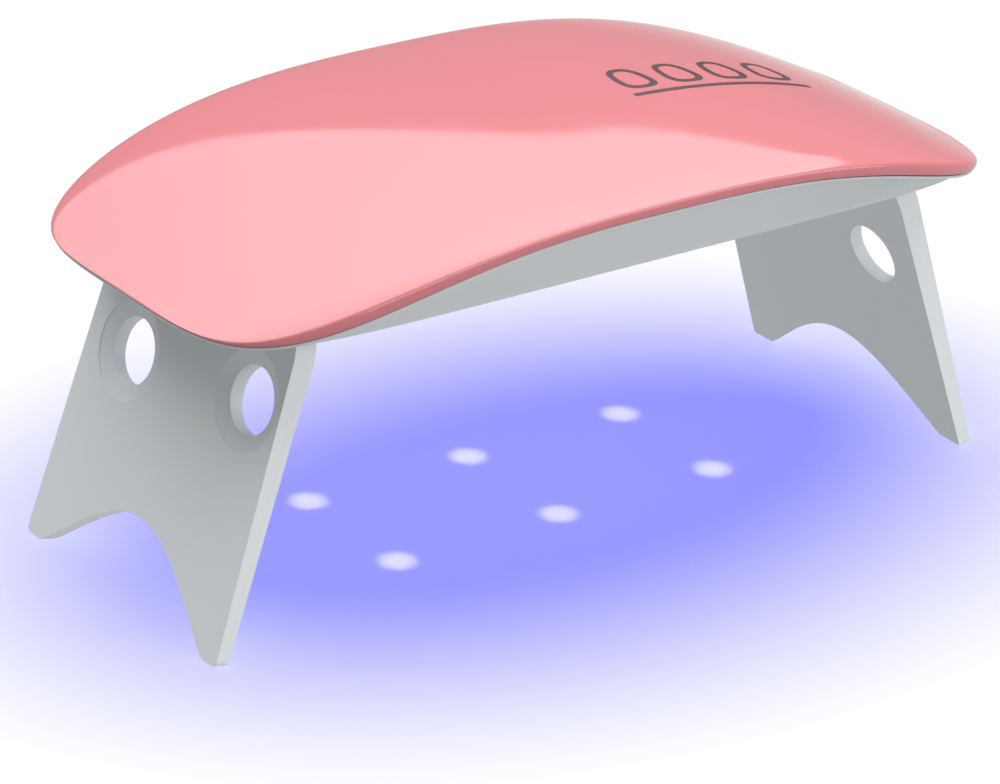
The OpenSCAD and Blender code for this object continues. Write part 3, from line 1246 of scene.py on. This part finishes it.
@dataclass
class LightEngine:
    """The reflector with its six dishes, and an LED with a clear dome in each, in millimetres.

    Attributes:
        finish: The reflector's plastic.
        package: The LED packages' ceramic.
        dome: The domes' silicone.
        half_size: Half the reflector's length and width.
        low: Height of its lower face.
        high: Height of its upper face.
        corner: Radius of its corners.
        dish_r: Radius of a dish at the lower face.
        dish_floor_r: Radius of a dish at the upper face.
        package_half: Half a package's width.
        package_low: Height of its lower face.
        package_high: Height of its upper face.
        dome_r: The dome's radius of curvature.
        dome_drop: How far the dome's centre lies above its base.
    """

    finish: Moulding
    package: Moulding
    dome: ClearDome
    half_size: Point2 = (40.0, 16.6)
    low: float = 48.2
    high: float = 48.78
    corner: float = 2.0
    dish_r: float = 3.9
    dish_floor_r: float = 2.7
    package_half: float = 1.75
    package_low: float = 49.19
    package_high: float = 49.99
    dome_r: float = 1.9
    dome_drop: float = 1.0

    def reflector(self) -> Blank:
        """Builds the plate with its dishes, each with a fine raised lip."""
        plate = Blank.bar(rounded_box(*self.half_size, self.corner, 10), self.low, self.high)
        cone = (self.dish_r - self.dish_floor_r) / (self.high - self.low)
        profile = [
            (0, -1),
            (self.dish_r + 0.12, -1),
            (self.dish_r + 0.12, 0.04),
            (self.dish_r - 0.04 * cone, 0.04),
            (self.dish_floor_r, self.high - self.low),
            (self.dish_floor_r, 2),
            (0, 2),
        ]
        dishes = [Blank.turned(profile, 72).moved(*led_place(i), self.low) for i in range(6)]
        return plate.shaped(Cut.REMOVE, dishes[0].loose(*dishes[1:]))

    def led(self, index: int) -> Blank:
        """Builds one LED package with a moat round its dome and a clipped corner."""
        half = self.package_half
        clip = 0.5
        outline = [(-half, -half), (half, -half), (half, half - clip), (half - clip, half), (-half, half)]
        body = Blank.bar(outline, self.package_low, self.package_high)
        dome_base = math.sqrt(self.dome_r**2 - self.dome_drop**2)
        moat = Blank.turned([(0, -1), (dome_base, -1), (dome_base - 0.03, 0.07), (0, 0.07)], 48)
        body.shaped(Cut.REMOVE, moat.moved(z=self.package_low))
        return body.softened(0.07, 40.0).moved(*led_place(index))

    def lens(self, index: int) -> Blank:
        """Builds one clear dome, bulging downwards."""
        base = self.package_low - 0.01
        limit = math.acos(self.dome_drop / self.dome_r)
        profile = []
        for k in range(13):
            turn = limit * k / 12
            fall = self.dome_r * math.cos(turn) - self.dome_drop
            profile.append((self.dome_r * math.sin(turn), base - fall))
        profile.append((0, base))
        return Blank.turned(profile, 48).moved(*led_place(index))

    def build(self) -> list[bpy.types.Object]:
        """Makes the pieces.

        Returns:
            The pieces.
        """
        edge = EdgeBreak(0.06, 40.0, 2)
        plate = Piece("reflector_dish_plate", Body.HOUSING, "reflector", ("reflector_plate",), edge)
        pieces = [plate.finish(self.reflector(), self.finish.build())]
        package = self.package.build()
        dome = self.dome.build()
        for i in range(6):
            led = Piece(f"uv_led_package_{i + 1}", Body.HOUSING, "led_package", (f"uv_led_{i + 1}",))
            lens = Piece(f"uv_led_dome_{i + 1}", Body.HOUSING, "led_lens", (f"led_lens_{i + 1}",))
            pieces.append(led.finish(self.led(i), package))
            pieces.append(lens.finish(self.lens(i), dome))
        return pieces


@dataclass
class Fasteners:
    """The four case screws and the two hinge rods, in millimetres.

    Attributes:
        recess: The recess, which places them.
        steel: The screws' and rods' metal.
        screw_place: A screw's distance from the middle, along and across.
        head_r: Radius of a screw's head.
        head_h: Height of the head's cone.
        shaft_r: Radius of its thread.
        tip_z: Height of its tip.
        thread: The thread's pitch.
        thread_depth: The thread's depth.
        slot: Length, width and depth of the cross in the head.
        rod_r: Radius of a hinge rod.
        rod_half: Half its length.
    """

    recess: LegRecess
    steel: BareMetal
    screw_place: Point2 = (31.0, 19.5)
    head_r: float = 1.8
    head_h: float = 0.9
    shaft_r: float = 0.95
    tip_z: float = 54.8
    thread: float = 0.62
    thread_depth: float = 0.16
    slot: tuple[float, float, float] = (2.2, 0.5, 0.4)
    rod_r: float = 0.75
    rod_half: float = 20.35

    def screw(self) -> Blank:
        """Builds one countersunk screw with its head downwards."""
        low = self.recess.main_ceiling
        neck = low + self.head_h
        profile = [(0, low), (self.head_r - 0.08, low), (self.head_r, low + 0.06), (self.shaft_r, neck)]
        z = neck + 0.3
        while z < self.tip_z - 0.8:
            profile.append((self.shaft_r, z))
            profile.append((self.shaft_r - self.thread_depth, z + self.thread / 2))
            z += self.thread
        profile += [(self.shaft_r, z), (0.35, self.tip_z), (0, self.tip_z)]
        screw = Blank.turned(profile, 40)
        length, width, depth = (size / 2 for size in self.slot)
        bottom, top = low - 1, low + 2 * depth
        screw.shaped(
            Cut.REMOVE,
            Blank.block((-length, -width, bottom), (length, width, top)),
            Blank.block((-width, -length, bottom), (width, length, top)),
        )
        return screw

    def screws(self) -> Blank:
        """Sets a screw in each of the four holes."""
        first = self.screw()
        x, y = self.screw_place
        rest = [first.copied().rotated(18, Axis.Z).moved(x, -y), first.copied().moved(-x, y)]
        rest.append(first.copied().rotated(33, Axis.Z).moved(-x, -y))
        return first.rotated(9, Axis.Z).moved(x, y).loose(*rest)

    def rod(self, side: int) -> Blank:
        """Builds one hinge rod with chamfered ends."""
        chamfer = 0.18
        half = self.rod_half
        profile = [
            (0, -half),
            (self.rod_r - chamfer, -half),
            (self.rod_r, chamfer - half),
            (self.rod_r, half - chamfer),
            (self.rod_r - chamfer, half),
            (0, half),
        ]
        rod = Blank.turned(profile, 40).rotated(90, Axis.X)
        return rod.moved(x=side * self.recess.hinge_x, z=self.recess.hinge_z)

    def build(self) -> list[bpy.types.Object]:
        """Makes the pieces.

        Returns:
            The pieces.
        """
        metal = self.steel.build()
        pieces = [Piece("cross_head_screws", Body.HOUSING, "screw", ("case_screws",)).finish(self.screws(), metal)]
        for side, word in zip(SIDES, ("left", "right")):
            rod = Piece(f"{word}_hinge_rod", Body.HOUSING, "rod", (f"{word}_hinge_pin",))
            pieces.append(rod.finish(self.rod(side), metal))
        return pieces


@dataclass
class RearPanel:
    """The micro-USB socket, the power button and the indicator's lens, in millimetres.

    Attributes:
        socket_metal: The socket's tinned steel.
        button_finish: The button's plastic.
        lens_finish: The indicator lens's acrylic.
        port_z: Height of the three openings.
        usb_x: The socket's place along the lamp.
        usb_y: Where the socket starts and ends.
        usb_size: Its width and height.
        usb_wall: Thickness of its shell.
        usb_back_t: Thickness of its back.
        button_x: The button's place along the lamp.
        button_y: Where the button starts and ends.
        button_size: Its width and height.
        lens_x: The lens's place along the lamp.
        lens_y: Where the lens starts and ends.
        lens_r: Its radius.
    """

    socket_metal: BareMetal
    button_finish: Moulding
    lens_finish: ClearDome
    port_z: float = 52.1
    usb_x: float = -8.0
    usb_y: Point2 = (26.0, 31.2)
    usb_size: Point2 = (7.5, 2.5)
    usb_wall: float = 0.3
    usb_back_t: float = 0.6
    button_x: float = 9.0
    button_y: Point2 = (27.2, 31.8)
    button_size: Point2 = (7.0, 2.6)
    lens_x: float = 17.0
    lens_y: Point2 = (28.2, 31.4)
    lens_r: float = 0.88

    def socket(self) -> Blank:
        """Builds the socket's folded shell with two latch windows and its seam."""
        width, height = self.usb_size
        back, front = self.usb_y
        shell = Blank.bar(pill(width, height), back, front, Axis.Y)
        inner = pill(width - 2 * self.usb_wall, height - 2 * self.usb_wall)
        shell.shaped(Cut.REMOVE, Blank.bar(inner, back + self.usb_back_t, front + 1, Axis.Y))
        windows = [
            Blank.block((x - 0.45, back + 2.2, height / 2 - 0.5), (x + 0.45, back + 3.4, height))
            for x in (-1.7, 1.7)
        ]
        seam = Blank.block((-0.05, back - 1, -height), (0.05, front + 1, 0.12 - height / 2))
        shell.shaped(Cut.REMOVE, windows[0].loose(windows[1], seam))
        return shell.moved(self.usb_x, 0, self.port_z)

    def button(self) -> Blank:
        """Builds the button with a fine line round its pressed face."""
        width, height = self.button_size
        back, front = self.button_y
        button = Blank.bar(pill(width, height), back, front, Axis.Y)
        ring = Blank.bar(pill(width - 1.2, height - 1.2), front - 0.1, front + 1, Axis.Y)
        ring.shaped(Cut.REMOVE, Blank.bar(pill(width - 1.6, height - 1.6), front - 1, front + 2, Axis.Y))
        return button.shaped(Cut.REMOVE, ring).moved(self.button_x, 0, self.port_z)

    def lens(self) -> Blank:
        """Builds the indicator's lens with a domed front."""
        back, front = self.lens_y
        r = self.lens_r
        bulge = 0.35
        profile = [(0, back), (r - 0.08, back), (r, back + 0.08)]
        for k in range(9):
            turn = math.pi / 2 * k / 8
            profile.append((r * math.cos(turn), front - bulge + bulge * math.sin(turn)))
        profile[-1] = (0, front)
        lens = Blank.turned(profile, 40).rotated(-90, Axis.X)
        return lens.moved(self.lens_x, 0, self.port_z)

    def build(self) -> list[bpy.types.Object]:
        """Makes the pieces.

        Returns:
            The pieces.
        """
        edge = EdgeBreak(0.05, 40.0, 2)
        socket = Piece("micro_usb_socket", Body.HOUSING, "socket_metal", ("micro_usb_shell",), edge)
        button = Piece("power_button_cap", Body.BUTTON, "button", ("power_button",), EdgeBreak(0.12, 40.0, 3))
        lens = Piece("indicator_window", Body.HOUSING, "lens", ("indicator_lens",))
        return [
            socket.finish(self.socket(), self.socket_metal.build()),
            button.finish(self.button(), self.button_finish.build()),
            lens.finish(self.lens(), self.lens_finish.build()),
        ]


@dataclass
class FoldingLeg:
    """One fold-out leg, in millimetres, in its own frame: the rod at the origin, the plate downwards.

    Attributes:
        side: -1 for the left leg, 1 for the right one.
        finish: The leg's plastic.
        splay: The open leg's angle from the vertical, in degrees.
        hinge_x: The hinge's distance from the middle.
        hinge_z: The hinge's height.
        out: How far the outer face stands off the rod's middle.
        length: From the rod's middle to the feet.
        top_t: Thickness at the shoulders.
        foot_t: Thickness at the feet.
        top_half: Half the width at the shoulders.
        foot_half: Half the width at the feet.
        knuckle_r: Radius of the knuckle round the rod.
        knuckle_half: Half the knuckle's length.
        elbow_s: Where the elbow starts below the rod.
        shoulder_h: Height of the rounded shoulders.
        sole_w: Width of each foot's sole.
        arch_h: Height of the arch between the feet.
        arch_round: How round the arch is.
        hole_r: Radius of the round holes.
        hole_y: Their distances from the middle.
        hole_up: Their heights above the feet.
        ring_r: Radius of the dished ring round each hole.
        ring_depth: Depth of that ring.
        ring_step: Depth of the fine step at its edge.
    """

    side: int
    finish: Moulding
    splay: float = 17.5
    hinge_x: float = 49.856
    hinge_z: float = 46.5
    out: float = 1.9
    length: float = 49.356
    top_t: float = 3.4
    foot_t: float = 2.0
    top_half: float = 22.1
    foot_half: float = 23.95
    knuckle_r: float = 1.5
    knuckle_half: float = 18.5
    elbow_s: float = 2.2
    shoulder_h: float = 5.5
    sole_w: float = 3.3
    arch_h: float = 11.6
    arch_round: float = 0.58
    hole_r: float = 4.75
    hole_y: tuple[float, float] = (12.6, 14.8)
    hole_up: tuple[float, float] = (31.1, 34.5)
    ring_r: float = 6.95
    ring_depth: float = 0.8
    ring_step: float = 0.14

    def side_outline(self) -> list[Point2]:
        """Gives the leg seen from its side, anticlockwise."""
        elbow = [
            (
                self.out * math.cos(math.radians(a)),
                -self.elbow_s + (self.knuckle_r + self.elbow_s) * math.sin(math.radians(a)),
            )
            for a in range(0, 91, 5)
        ]
        knuckle = [
            (self.knuckle_r * math.cos(math.radians(a)), self.knuckle_r * math.sin(math.radians(a)))
            for a in range(98, 181, 8)
        ]
        plate = [
            (self.out - self.top_t, -4.0),
            (self.out - self.foot_t, -self.length - 2),
            (self.out, -self.length - 2),
        ]
        return elbow + knuckle + plate

    def arch_drop(self, y: float) -> float:
        """Height of the arch above the feet at a distance from the middle."""
        arch_half = self.foot_half - self.sole_w
        return self.arch_h * ((1 + math.cos(math.pi * y / arch_half)) / 2) ** self.arch_round

    def front_outline(self) -> list[Point2]:
        """Gives the leg seen from its end, anticlockwise."""
        arch_half = self.foot_half - self.sole_w
        tip_r = 0.9
        shoulder_w = self.top_half - self.knuckle_half
        half = [(self.knuckle_half, self.knuckle_r + 1)]
        for a in range(90, -1, -6):
            turn = math.radians(a)
            half.append(
                (
                    self.knuckle_half + shoulder_w * math.cos(turn),
                    -self.elbow_s - self.shoulder_h + self.shoulder_h * math.sin(turn),
                )
            )
        for a in range(0, -91, -15):
            turn = math.radians(a)
            half.append(
                (
                    self.foot_half - tip_r + tip_r * math.cos(turn),
                    -self.length + tip_r + tip_r * math.sin(turn),
                )
            )
        count = 48
        for k in range(count, 0, -1):
            y = arch_half * k / count
            half.append((y, -self.length + self.arch_drop(y)))
        top = (0.0, -self.length + self.arch_h)
        mirrored = [(-y, z) for y, z in reversed(half)]
        return list(reversed(half + [top] + mirrored))

    def hole_tool(self, y: float, up: float) -> Blank:
        """Builds the tool that cuts one round hole and its dished ring.

        Args:
            y: Where the hole is across the leg.
            up: Its height above the feet.

        Returns:
            The tool.
        """
        inner = 8.0
        profile = [
            (0, 1),
            (self.ring_r, 1),
            (self.ring_r, -self.ring_step),
            (self.hole_r + 0.12, -self.ring_depth),
            (self.hole_r, -self.ring_depth - 0.12),
            (self.hole_r, -inner),
            (0, -inner),
        ]
        tool = Blank.turned(profile, 96).rotated(90, Axis.Y)
        return tool.moved(self.out, y, -self.length + up)

    def blank(self) -> Blank:
        """Builds the leg in its own frame, without its place in the lamp."""
        plate = Blank.bar(self.side_outline(), -self.foot_half - 1, self.foot_half + 1, Axis.Y)
        plate.shaped(Cut.KEEP, Blank.bar(self.front_outline(), -12, 12, Axis.X))
        bore = Blank.bar(circle(0.8, 32), -self.foot_half, self.foot_half, Axis.Y)
        holes = [self.hole_tool(end * self.hole_y[k], self.hole_up[k]) for k, end in enumerate(SIDES)]
        plate.shaped(Cut.REMOVE, bore, holes[0].loose(holes[1]))
        return plate

    def build(self) -> list[bpy.types.Object]:
        """Makes the leg's piece.

        Returns:
            The pieces.
        """
        blank = self.blank().rotated(-self.splay, Axis.Y).moved(self.hinge_x, 0, self.hinge_z)
        blank.shaped(Cut.REMOVE, Blank.block((40, -40, -20), (90, 40, 0)))
        if self.side < 0:
            blank.rotated(180, Axis.Z)
        word = "left" if self.side < 0 else "right"
        body = Body.LEFT_LEG if self.side < 0 else Body.RIGHT_LEG
        piece = Piece(
            f"{word}_leg_plate",
            body,
            "leg",
            (f"{word}_leg",),
            edge=EdgeBreak(0.28, 40.0, 3),
            crease=30.0,
        )
        return [piece.finish(blank, self.finish.build())]


# ---------------------------------------------------------------------------
# Studio
# ---------------------------------------------------------------------------


@dataclass
class Studio:
    """The pale floor, the soft lights and the camera, in metres.

    Attributes:
        floor_reach: The floor's radius.
        sky: How bright the surroundings are above the floor's level.
        bounce: How bright they are below it, in place of light thrown back by the floor.
        heading: The direction away from the camera, in degrees.
        box_height: How high the big softbox hangs.
        box_back: How far behind the lamp its far edge is.
        box_front: How far in front of the lamp its near edge is.
        box_width: Its width.
        box_radiance: How bright its face is.
        far_share: How much of that its far edge gives.
        near_share: How much its near half gives.
    """

    floor_reach: float = 6.0
    sky: float = 0.30
    bounce: float = 0.72
    heading: float = 61.7
    box_height: float = 1.15
    box_back: float = 2.185
    box_front: float = 0.5
    box_width: float = 2.1
    box_radiance: float = 2.45
    far_share: float = 0.70
    near_share: float = 1.65

    def floor(self) -> bpy.types.Object:
        """Lays the floor, which is clear when seen from below.

        Returns:
            The floor.
        """
        bm = bmesh.new()
        bmesh.ops.create_circle(bm, cap_ends=True, radius=self.floor_reach, segments=64)
        mesh = bpy.data.meshes.new("floor")
        bm.to_mesh(mesh)
        bm.free()
        recipe = Recipe("pale_floor")
        recipe.constants(Base_Color=(0.86, 0.86, 0.86, 1.0), Roughness=0.9, Specular_IOR_Level=0.0)
        facing = recipe.tree.nodes.new("ShaderNodeNewGeometry")
        clear = recipe.tree.nodes.new("ShaderNodeBsdfTransparent")
        choose = recipe.tree.nodes.new("ShaderNodeMixShader")
        recipe.link(facing.outputs["Backfacing"], choose.inputs["Fac"])
        recipe.link(recipe.shader.outputs["BSDF"], choose.inputs[1])
        recipe.link(clear.outputs["BSDF"], choose.inputs[2])
        recipe.link(choose.outputs["Shader"], recipe.output.inputs["Surface"])
        mesh.materials.append(recipe.material)
        item = bpy.data.objects.new("floor", mesh)
        item.visible_diffuse = False
        item.visible_glossy = False
        bpy.context.scene.collection.objects.link(item)
        return item

    def flag(self) -> bpy.types.Object:
        """Hangs the oval flag that keeps the floor light off the violet pool.

        Returns:
            The flag.
        """
        bm = bmesh.new()
        bmesh.ops.create_circle(bm, cap_ends=True, radius=1.0, segments=64)
        bmesh.ops.scale(bm, vec=(0.073, 0.047, 1), verts=bm.verts)
        bmesh.ops.translate(bm, vec=(0.001, -0.002, 0.2), verts=bm.verts)
        mesh = bpy.data.meshes.new("flag")
        bm.to_mesh(mesh)
        bm.free()
        item = bpy.data.objects.new("flag", mesh)
        for sight in ("camera", "diffuse", "glossy", "transmission"):
            setattr(item, f"visible_{sight}", False)
        bpy.context.scene.collection.objects.link(item)
        return item

    def surroundings(self) -> None:
        """Fills the surroundings with even light, brighter from below than from above."""
        world = bpy.data.worlds.new("studio")
        bpy.context.scene.world = world
        world.use_nodes = True
        tree = world.node_tree
        background = tree.nodes["Background"]
        background.inputs["Color"].default_value = (1, 1, 1, 1)
        coords = tree.nodes.new("ShaderNodeTexCoord")
        parts = tree.nodes.new("ShaderNodeSeparateXYZ")
        level = tree.nodes.new("ShaderNodeMapRange")
        level.inputs["From Min"].default_value = -0.25
        level.inputs["From Max"].default_value = 0.05
        level.inputs["To Min"].default_value = self.bounce
        level.inputs["To Max"].default_value = self.sky
        tree.links.new(coords.outputs["Generated"], parts.inputs["Vector"])
        tree.links.new(parts.outputs["Z"], level.inputs["Value"])
        tree.links.new(level.outputs["Result"], background.inputs["Strength"])

    def lamp(
        self,
        name: str,
        kind: str,
        place: Vector,
        energy: float,
        colour: Sequence[float] = (1, 1, 1),
        only: Optional[bpy.types.Collection] = None,
    ) -> bpy.types.Object:
        """Hangs one light that points straight down.

        Args:
            name: The light's name.
            kind: Blender's name for its kind.
            place: Where it hangs.
            energy: Its power.
            colour: Its colour.
            only: The things that it lights, if not all.

        Returns:
            The light.
        """
        light = bpy.data.lights.new(name, kind)
        light.energy = energy
        light.color = colour
        item = bpy.data.objects.new(name, light)
        item.location = place
        if only is not None:
            item.light_linking.receiver_collection = only
        bpy.context.scene.collection.objects.link(item)
        return item

    def overhead(self, floor: bpy.types.Object) -> None:
        """Hangs the big light whose far edge draws the highlight on the cover."""
        turn = math.radians(self.heading)
        away = Vector((math.cos(turn), math.sin(turn), 0))
        middle = away * ((self.box_back - self.box_front) / 2)
        length = self.box_back + self.box_front
        energy = self.box_radiance * math.pi * length * self.box_width
        others = bpy.data.collections.new("all but the floor")
        others.objects.link(floor)
        others.collection_objects[0].light_linking.link_state = "EXCLUDE"
        item = self.lamp("overhead", "AREA", Vector((middle.x, middle.y, self.box_height)), energy, only=others)
        item.data.shape = "RECTANGLE"
        item.data.size = length
        item.data.size_y = self.box_width
        item.rotation_euler = (0, 0, turn)
        self.grade(item.data, away)

    def grade(self, light: bpy.types.Light, away: Vector) -> None:
        """Makes the big softbox brighter towards its near edge.

        Args:
            light: The softbox's light.
            away: The direction away from the camera.
        """
        light.use_nodes = True
        tree = light.node_tree
        emission = tree.nodes["Emission"]
        place = tree.nodes.new("ShaderNodeNewGeometry")
        along = tree.nodes.new("ShaderNodeVectorMath")
        along.operation = "DOT_PRODUCT"
        along.inputs[1].default_value = away
        share = tree.nodes.new("ShaderNodeMapRange")
        share.inputs["From Min"].default_value = self.box_back
        share.inputs["From Max"].default_value = 0.7
        share.inputs["To Min"].default_value = 0.0
        share.inputs["To Max"].default_value = 1.0
        curve = tree.nodes.new("ShaderNodeMath")
        curve.operation = "POWER"
        curve.inputs[1].default_value = 2.0
        level = tree.nodes.new("ShaderNodeMapRange")
        level.inputs["To Min"].default_value = self.far_share
        level.inputs["To Max"].default_value = self.near_share
        tree.links.new(place.outputs["Position"], along.inputs[0])
        tree.links.new(along.outputs["Value"], share.inputs["Value"])
        tree.links.new(share.outputs["Result"], curve.inputs[0])
        tree.links.new(curve.outputs["Value"], level.inputs["Value"])
        tree.links.new(level.outputs["Result"], emission.inputs["Strength"])

    def front_box(self) -> None:
        """Hangs the soft light in front of the lamp."""
        place = Vector((0.50, -1.05, 0.42))
        item = self.lamp("front_box", "AREA", place, 2.5 * math.pi * 1.5 * 0.9)
        item.data.shape = "RECTANGLE"
        item.data.size = 1.5
        item.data.size_y = 0.9
        item.rotation_euler = (Vector((0, 0, 0.05)) - place).to_track_quat("-Z", "Y").to_euler()
        item.light_linking.receiver_collection = bpy.data.objects["overhead"].light_linking.receiver_collection

    def floor_wash(self, floor_only: bpy.types.Collection) -> None:
        """Lights the floor white, apart from the oval under the flag."""
        flags = bpy.data.collections.new("flags")
        flags.objects.link(self.flag())
        item = self.lamp("floor_wash", "AREA", Vector((0, 0, 1.6)), 24.0, only=floor_only)
        item.data.shape = "DISK"
        item.data.size = 0.46
        item.light_linking.blocker_collection = flags

    def lamp_glow(self, floor_only: bpy.types.Collection) -> None:
        """Puts violet light under each LED, wide for the pool and narrow for the spot."""
        clear = bpy.data.collections.new("nothing in the way")
        clear.objects.link(bpy.data.objects["floor"])
        for index in range(6):
            x, y = led_place(index)
            place = Vector((x, y, 47.9)) * MM
            wide = self.lamp(f"glow_{index + 1}", "AREA", place, 0.016, (0.008, 0.006, 1.0), floor_only)
            wide.data.shape = "DISK"
            wide.data.size = 0.006
            wide.light_linking.blocker_collection = clear
            wide.visible_camera = False
            wide.visible_transmission = False
            wide.visible_glossy = False
            narrow = self.lamp(f"spot_{index + 1}", "SPOT", place, 0.05, (0.9, 0.88, 1.0), floor_only)
            narrow.light_linking.blocker_collection = clear
            narrow.data.spot_size = math.radians(8.5)
            narrow.data.spot_blend = 1.0
            narrow.data.shadow_soft_size = 0.0005

    def camera(self) -> None:
        """Stands the camera at the front left, looking down at the lamp."""
        eye = Vector((-357.4, -463.9, 285.0)) * MM
        ahead = Vector((0.55109, 0.72147, -0.41927)).normalized()
        right = Vector((0.80540, -0.59130, 0.04112)).normalized()
        up = right.cross(ahead)
        data = bpy.data.cameras.new("camera")
        data.sensor_width = 36
        data.lens = 163.28
        data.clip_start = 0.01
        data.clip_end = 100
        item = bpy.data.objects.new("camera", data)
        turn = Matrix((right, up, -ahead)).transposed()
        item.matrix_world = Matrix.Translation(eye) @ turn.to_4x4()
        bpy.context.scene.collection.objects.link(item)
        bpy.context.scene.camera = item

    def build(self) -> None:
        """Sets up the whole studio."""
        bpy.context.scene.view_settings.view_transform = "Standard"
        self.camera()
        floor = self.floor()
        floor_only = bpy.data.collections.new("floor only")
        floor_only.objects.link(floor)
        self.surroundings()
        self.overhead(floor)
        self.front_box()
        self.floor_wash(floor_only)
        self.lamp_glow(floor_only)


def dress_nodes(nodes: Sequence[str], material: bpy.types.Material) -> None:
    """Gives CAD nodes that stay in view a better finish.

    Args:
        nodes: The nodes' names.
        material: Their material.
    """
    for name in nodes:
        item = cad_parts[name]
        for slot in item.material_slots:
            slot.material = material


def dress_electronics() -> None:
    """Gives the boards and the parts on them their finishes."""
    white_board = BoardMask("white_board", shade(232, 233, 226), shade(205, 205, 196), 3.2)
    green_board = BoardMask("green_board", shade(24, 92, 48), shade(48, 128, 70), 1.6)
    epoxy = Moulding("black_epoxy", shade(38, 38, 40), 0.5, grain=0.12)
    ferrite = Moulding("ferrite_grey", shade(82, 82, 86), 0.6, grain=0.12)
    ceramic = Moulding("capacitor_tan", shade(168, 126, 84), 0.45, grain=0.12)
    dark_plastic = Moulding("switch_plastic", shade(52, 52, 56), 0.5, grain=0.12)
    pale_plastic = Moulding("pale_nylon", shade(226, 226, 218), 0.5, grain=0.12)
    tin = BareMetal("tinned_links", (0.7, 0.69, 0.67, 1.0), 0.3)
    finishes = [
        (("led_board",), white_board),
        (("control_board",), green_board),
        (("driver_chip", "chip_resistors", "micro_usb_tongue"), epoxy),
        (("power_inductor",), ferrite),
        (("filter_capacitors",), ceramic),
        (("tact_switch",), dark_plastic),
        (("switch_plunger", "indicator_led"), pale_plastic),
        (("board_link",), tin),
    ]
    for nodes, finish in finishes:
        dress_nodes(nodes, finish.build())


def main() -> None:
    """Builds the studio and the lamp, one sub-assembly after the other."""
    logging.basicConfig(level=logging.INFO, format="%(message)s")
    Studio().build()
    form = BodyForm()
    recess = LegRecess()
    grey = shade(204, 208, 210)
    assemblies = [
        CoverShell(
            form,
            GlossShell("pink_gloss", (0.50, 0.156, 0.172, 1.0)),
            Moulding("dark_print", shade(58, 30, 38), 0.4),
        ),
        # The housing takes the legs' grey plastic made darker: painted shade for the band, which faces down and
        # gets less light.
        HousingTray(form, recess, Moulding("housing_grey_painted_shade", shade(188, 192, 194), 0.42)),
        FoldingLeg(-1, Moulding("leg_grey_left", grey, 0.45)),
        FoldingLeg(1, Moulding("leg_grey_right", grey, 0.45)),
        LightEngine(
            Moulding("reflector_white", shade(236, 236, 240), 0.3),
            Moulding("led_ceramic", shade(240, 238, 228), 0.5, grain=0.1),
            ClearDome("led_silicone", (0.92, 0.9, 1.0, 1.0), (0.16, 0.10, 1.0, 1.0), 2.4),
        ),
        Fasteners(recess, BareMetal("plated_steel", (0.62, 0.62, 0.63, 1.0), 0.26)),
        RearPanel(
            BareMetal("tinned_steel", (0.72, 0.71, 0.69, 1.0), 0.3, (1, 12, 1)),
            Moulding("button_grey", shade(228, 230, 231), 0.38),
            ClearDome("indicator_acrylic", (0.8, 0.85, 1.0, 1.0), (0.2, 0.35, 1.0, 1.0), 0.6),
        ),
    ]
    for assembly in assemblies:
        for piece in assembly.build():
            LOG.info("%s: %d faces", piece.name, len(piece.data.polygons))
    dress_electronics()


if __name__ == "__main__":
    main()
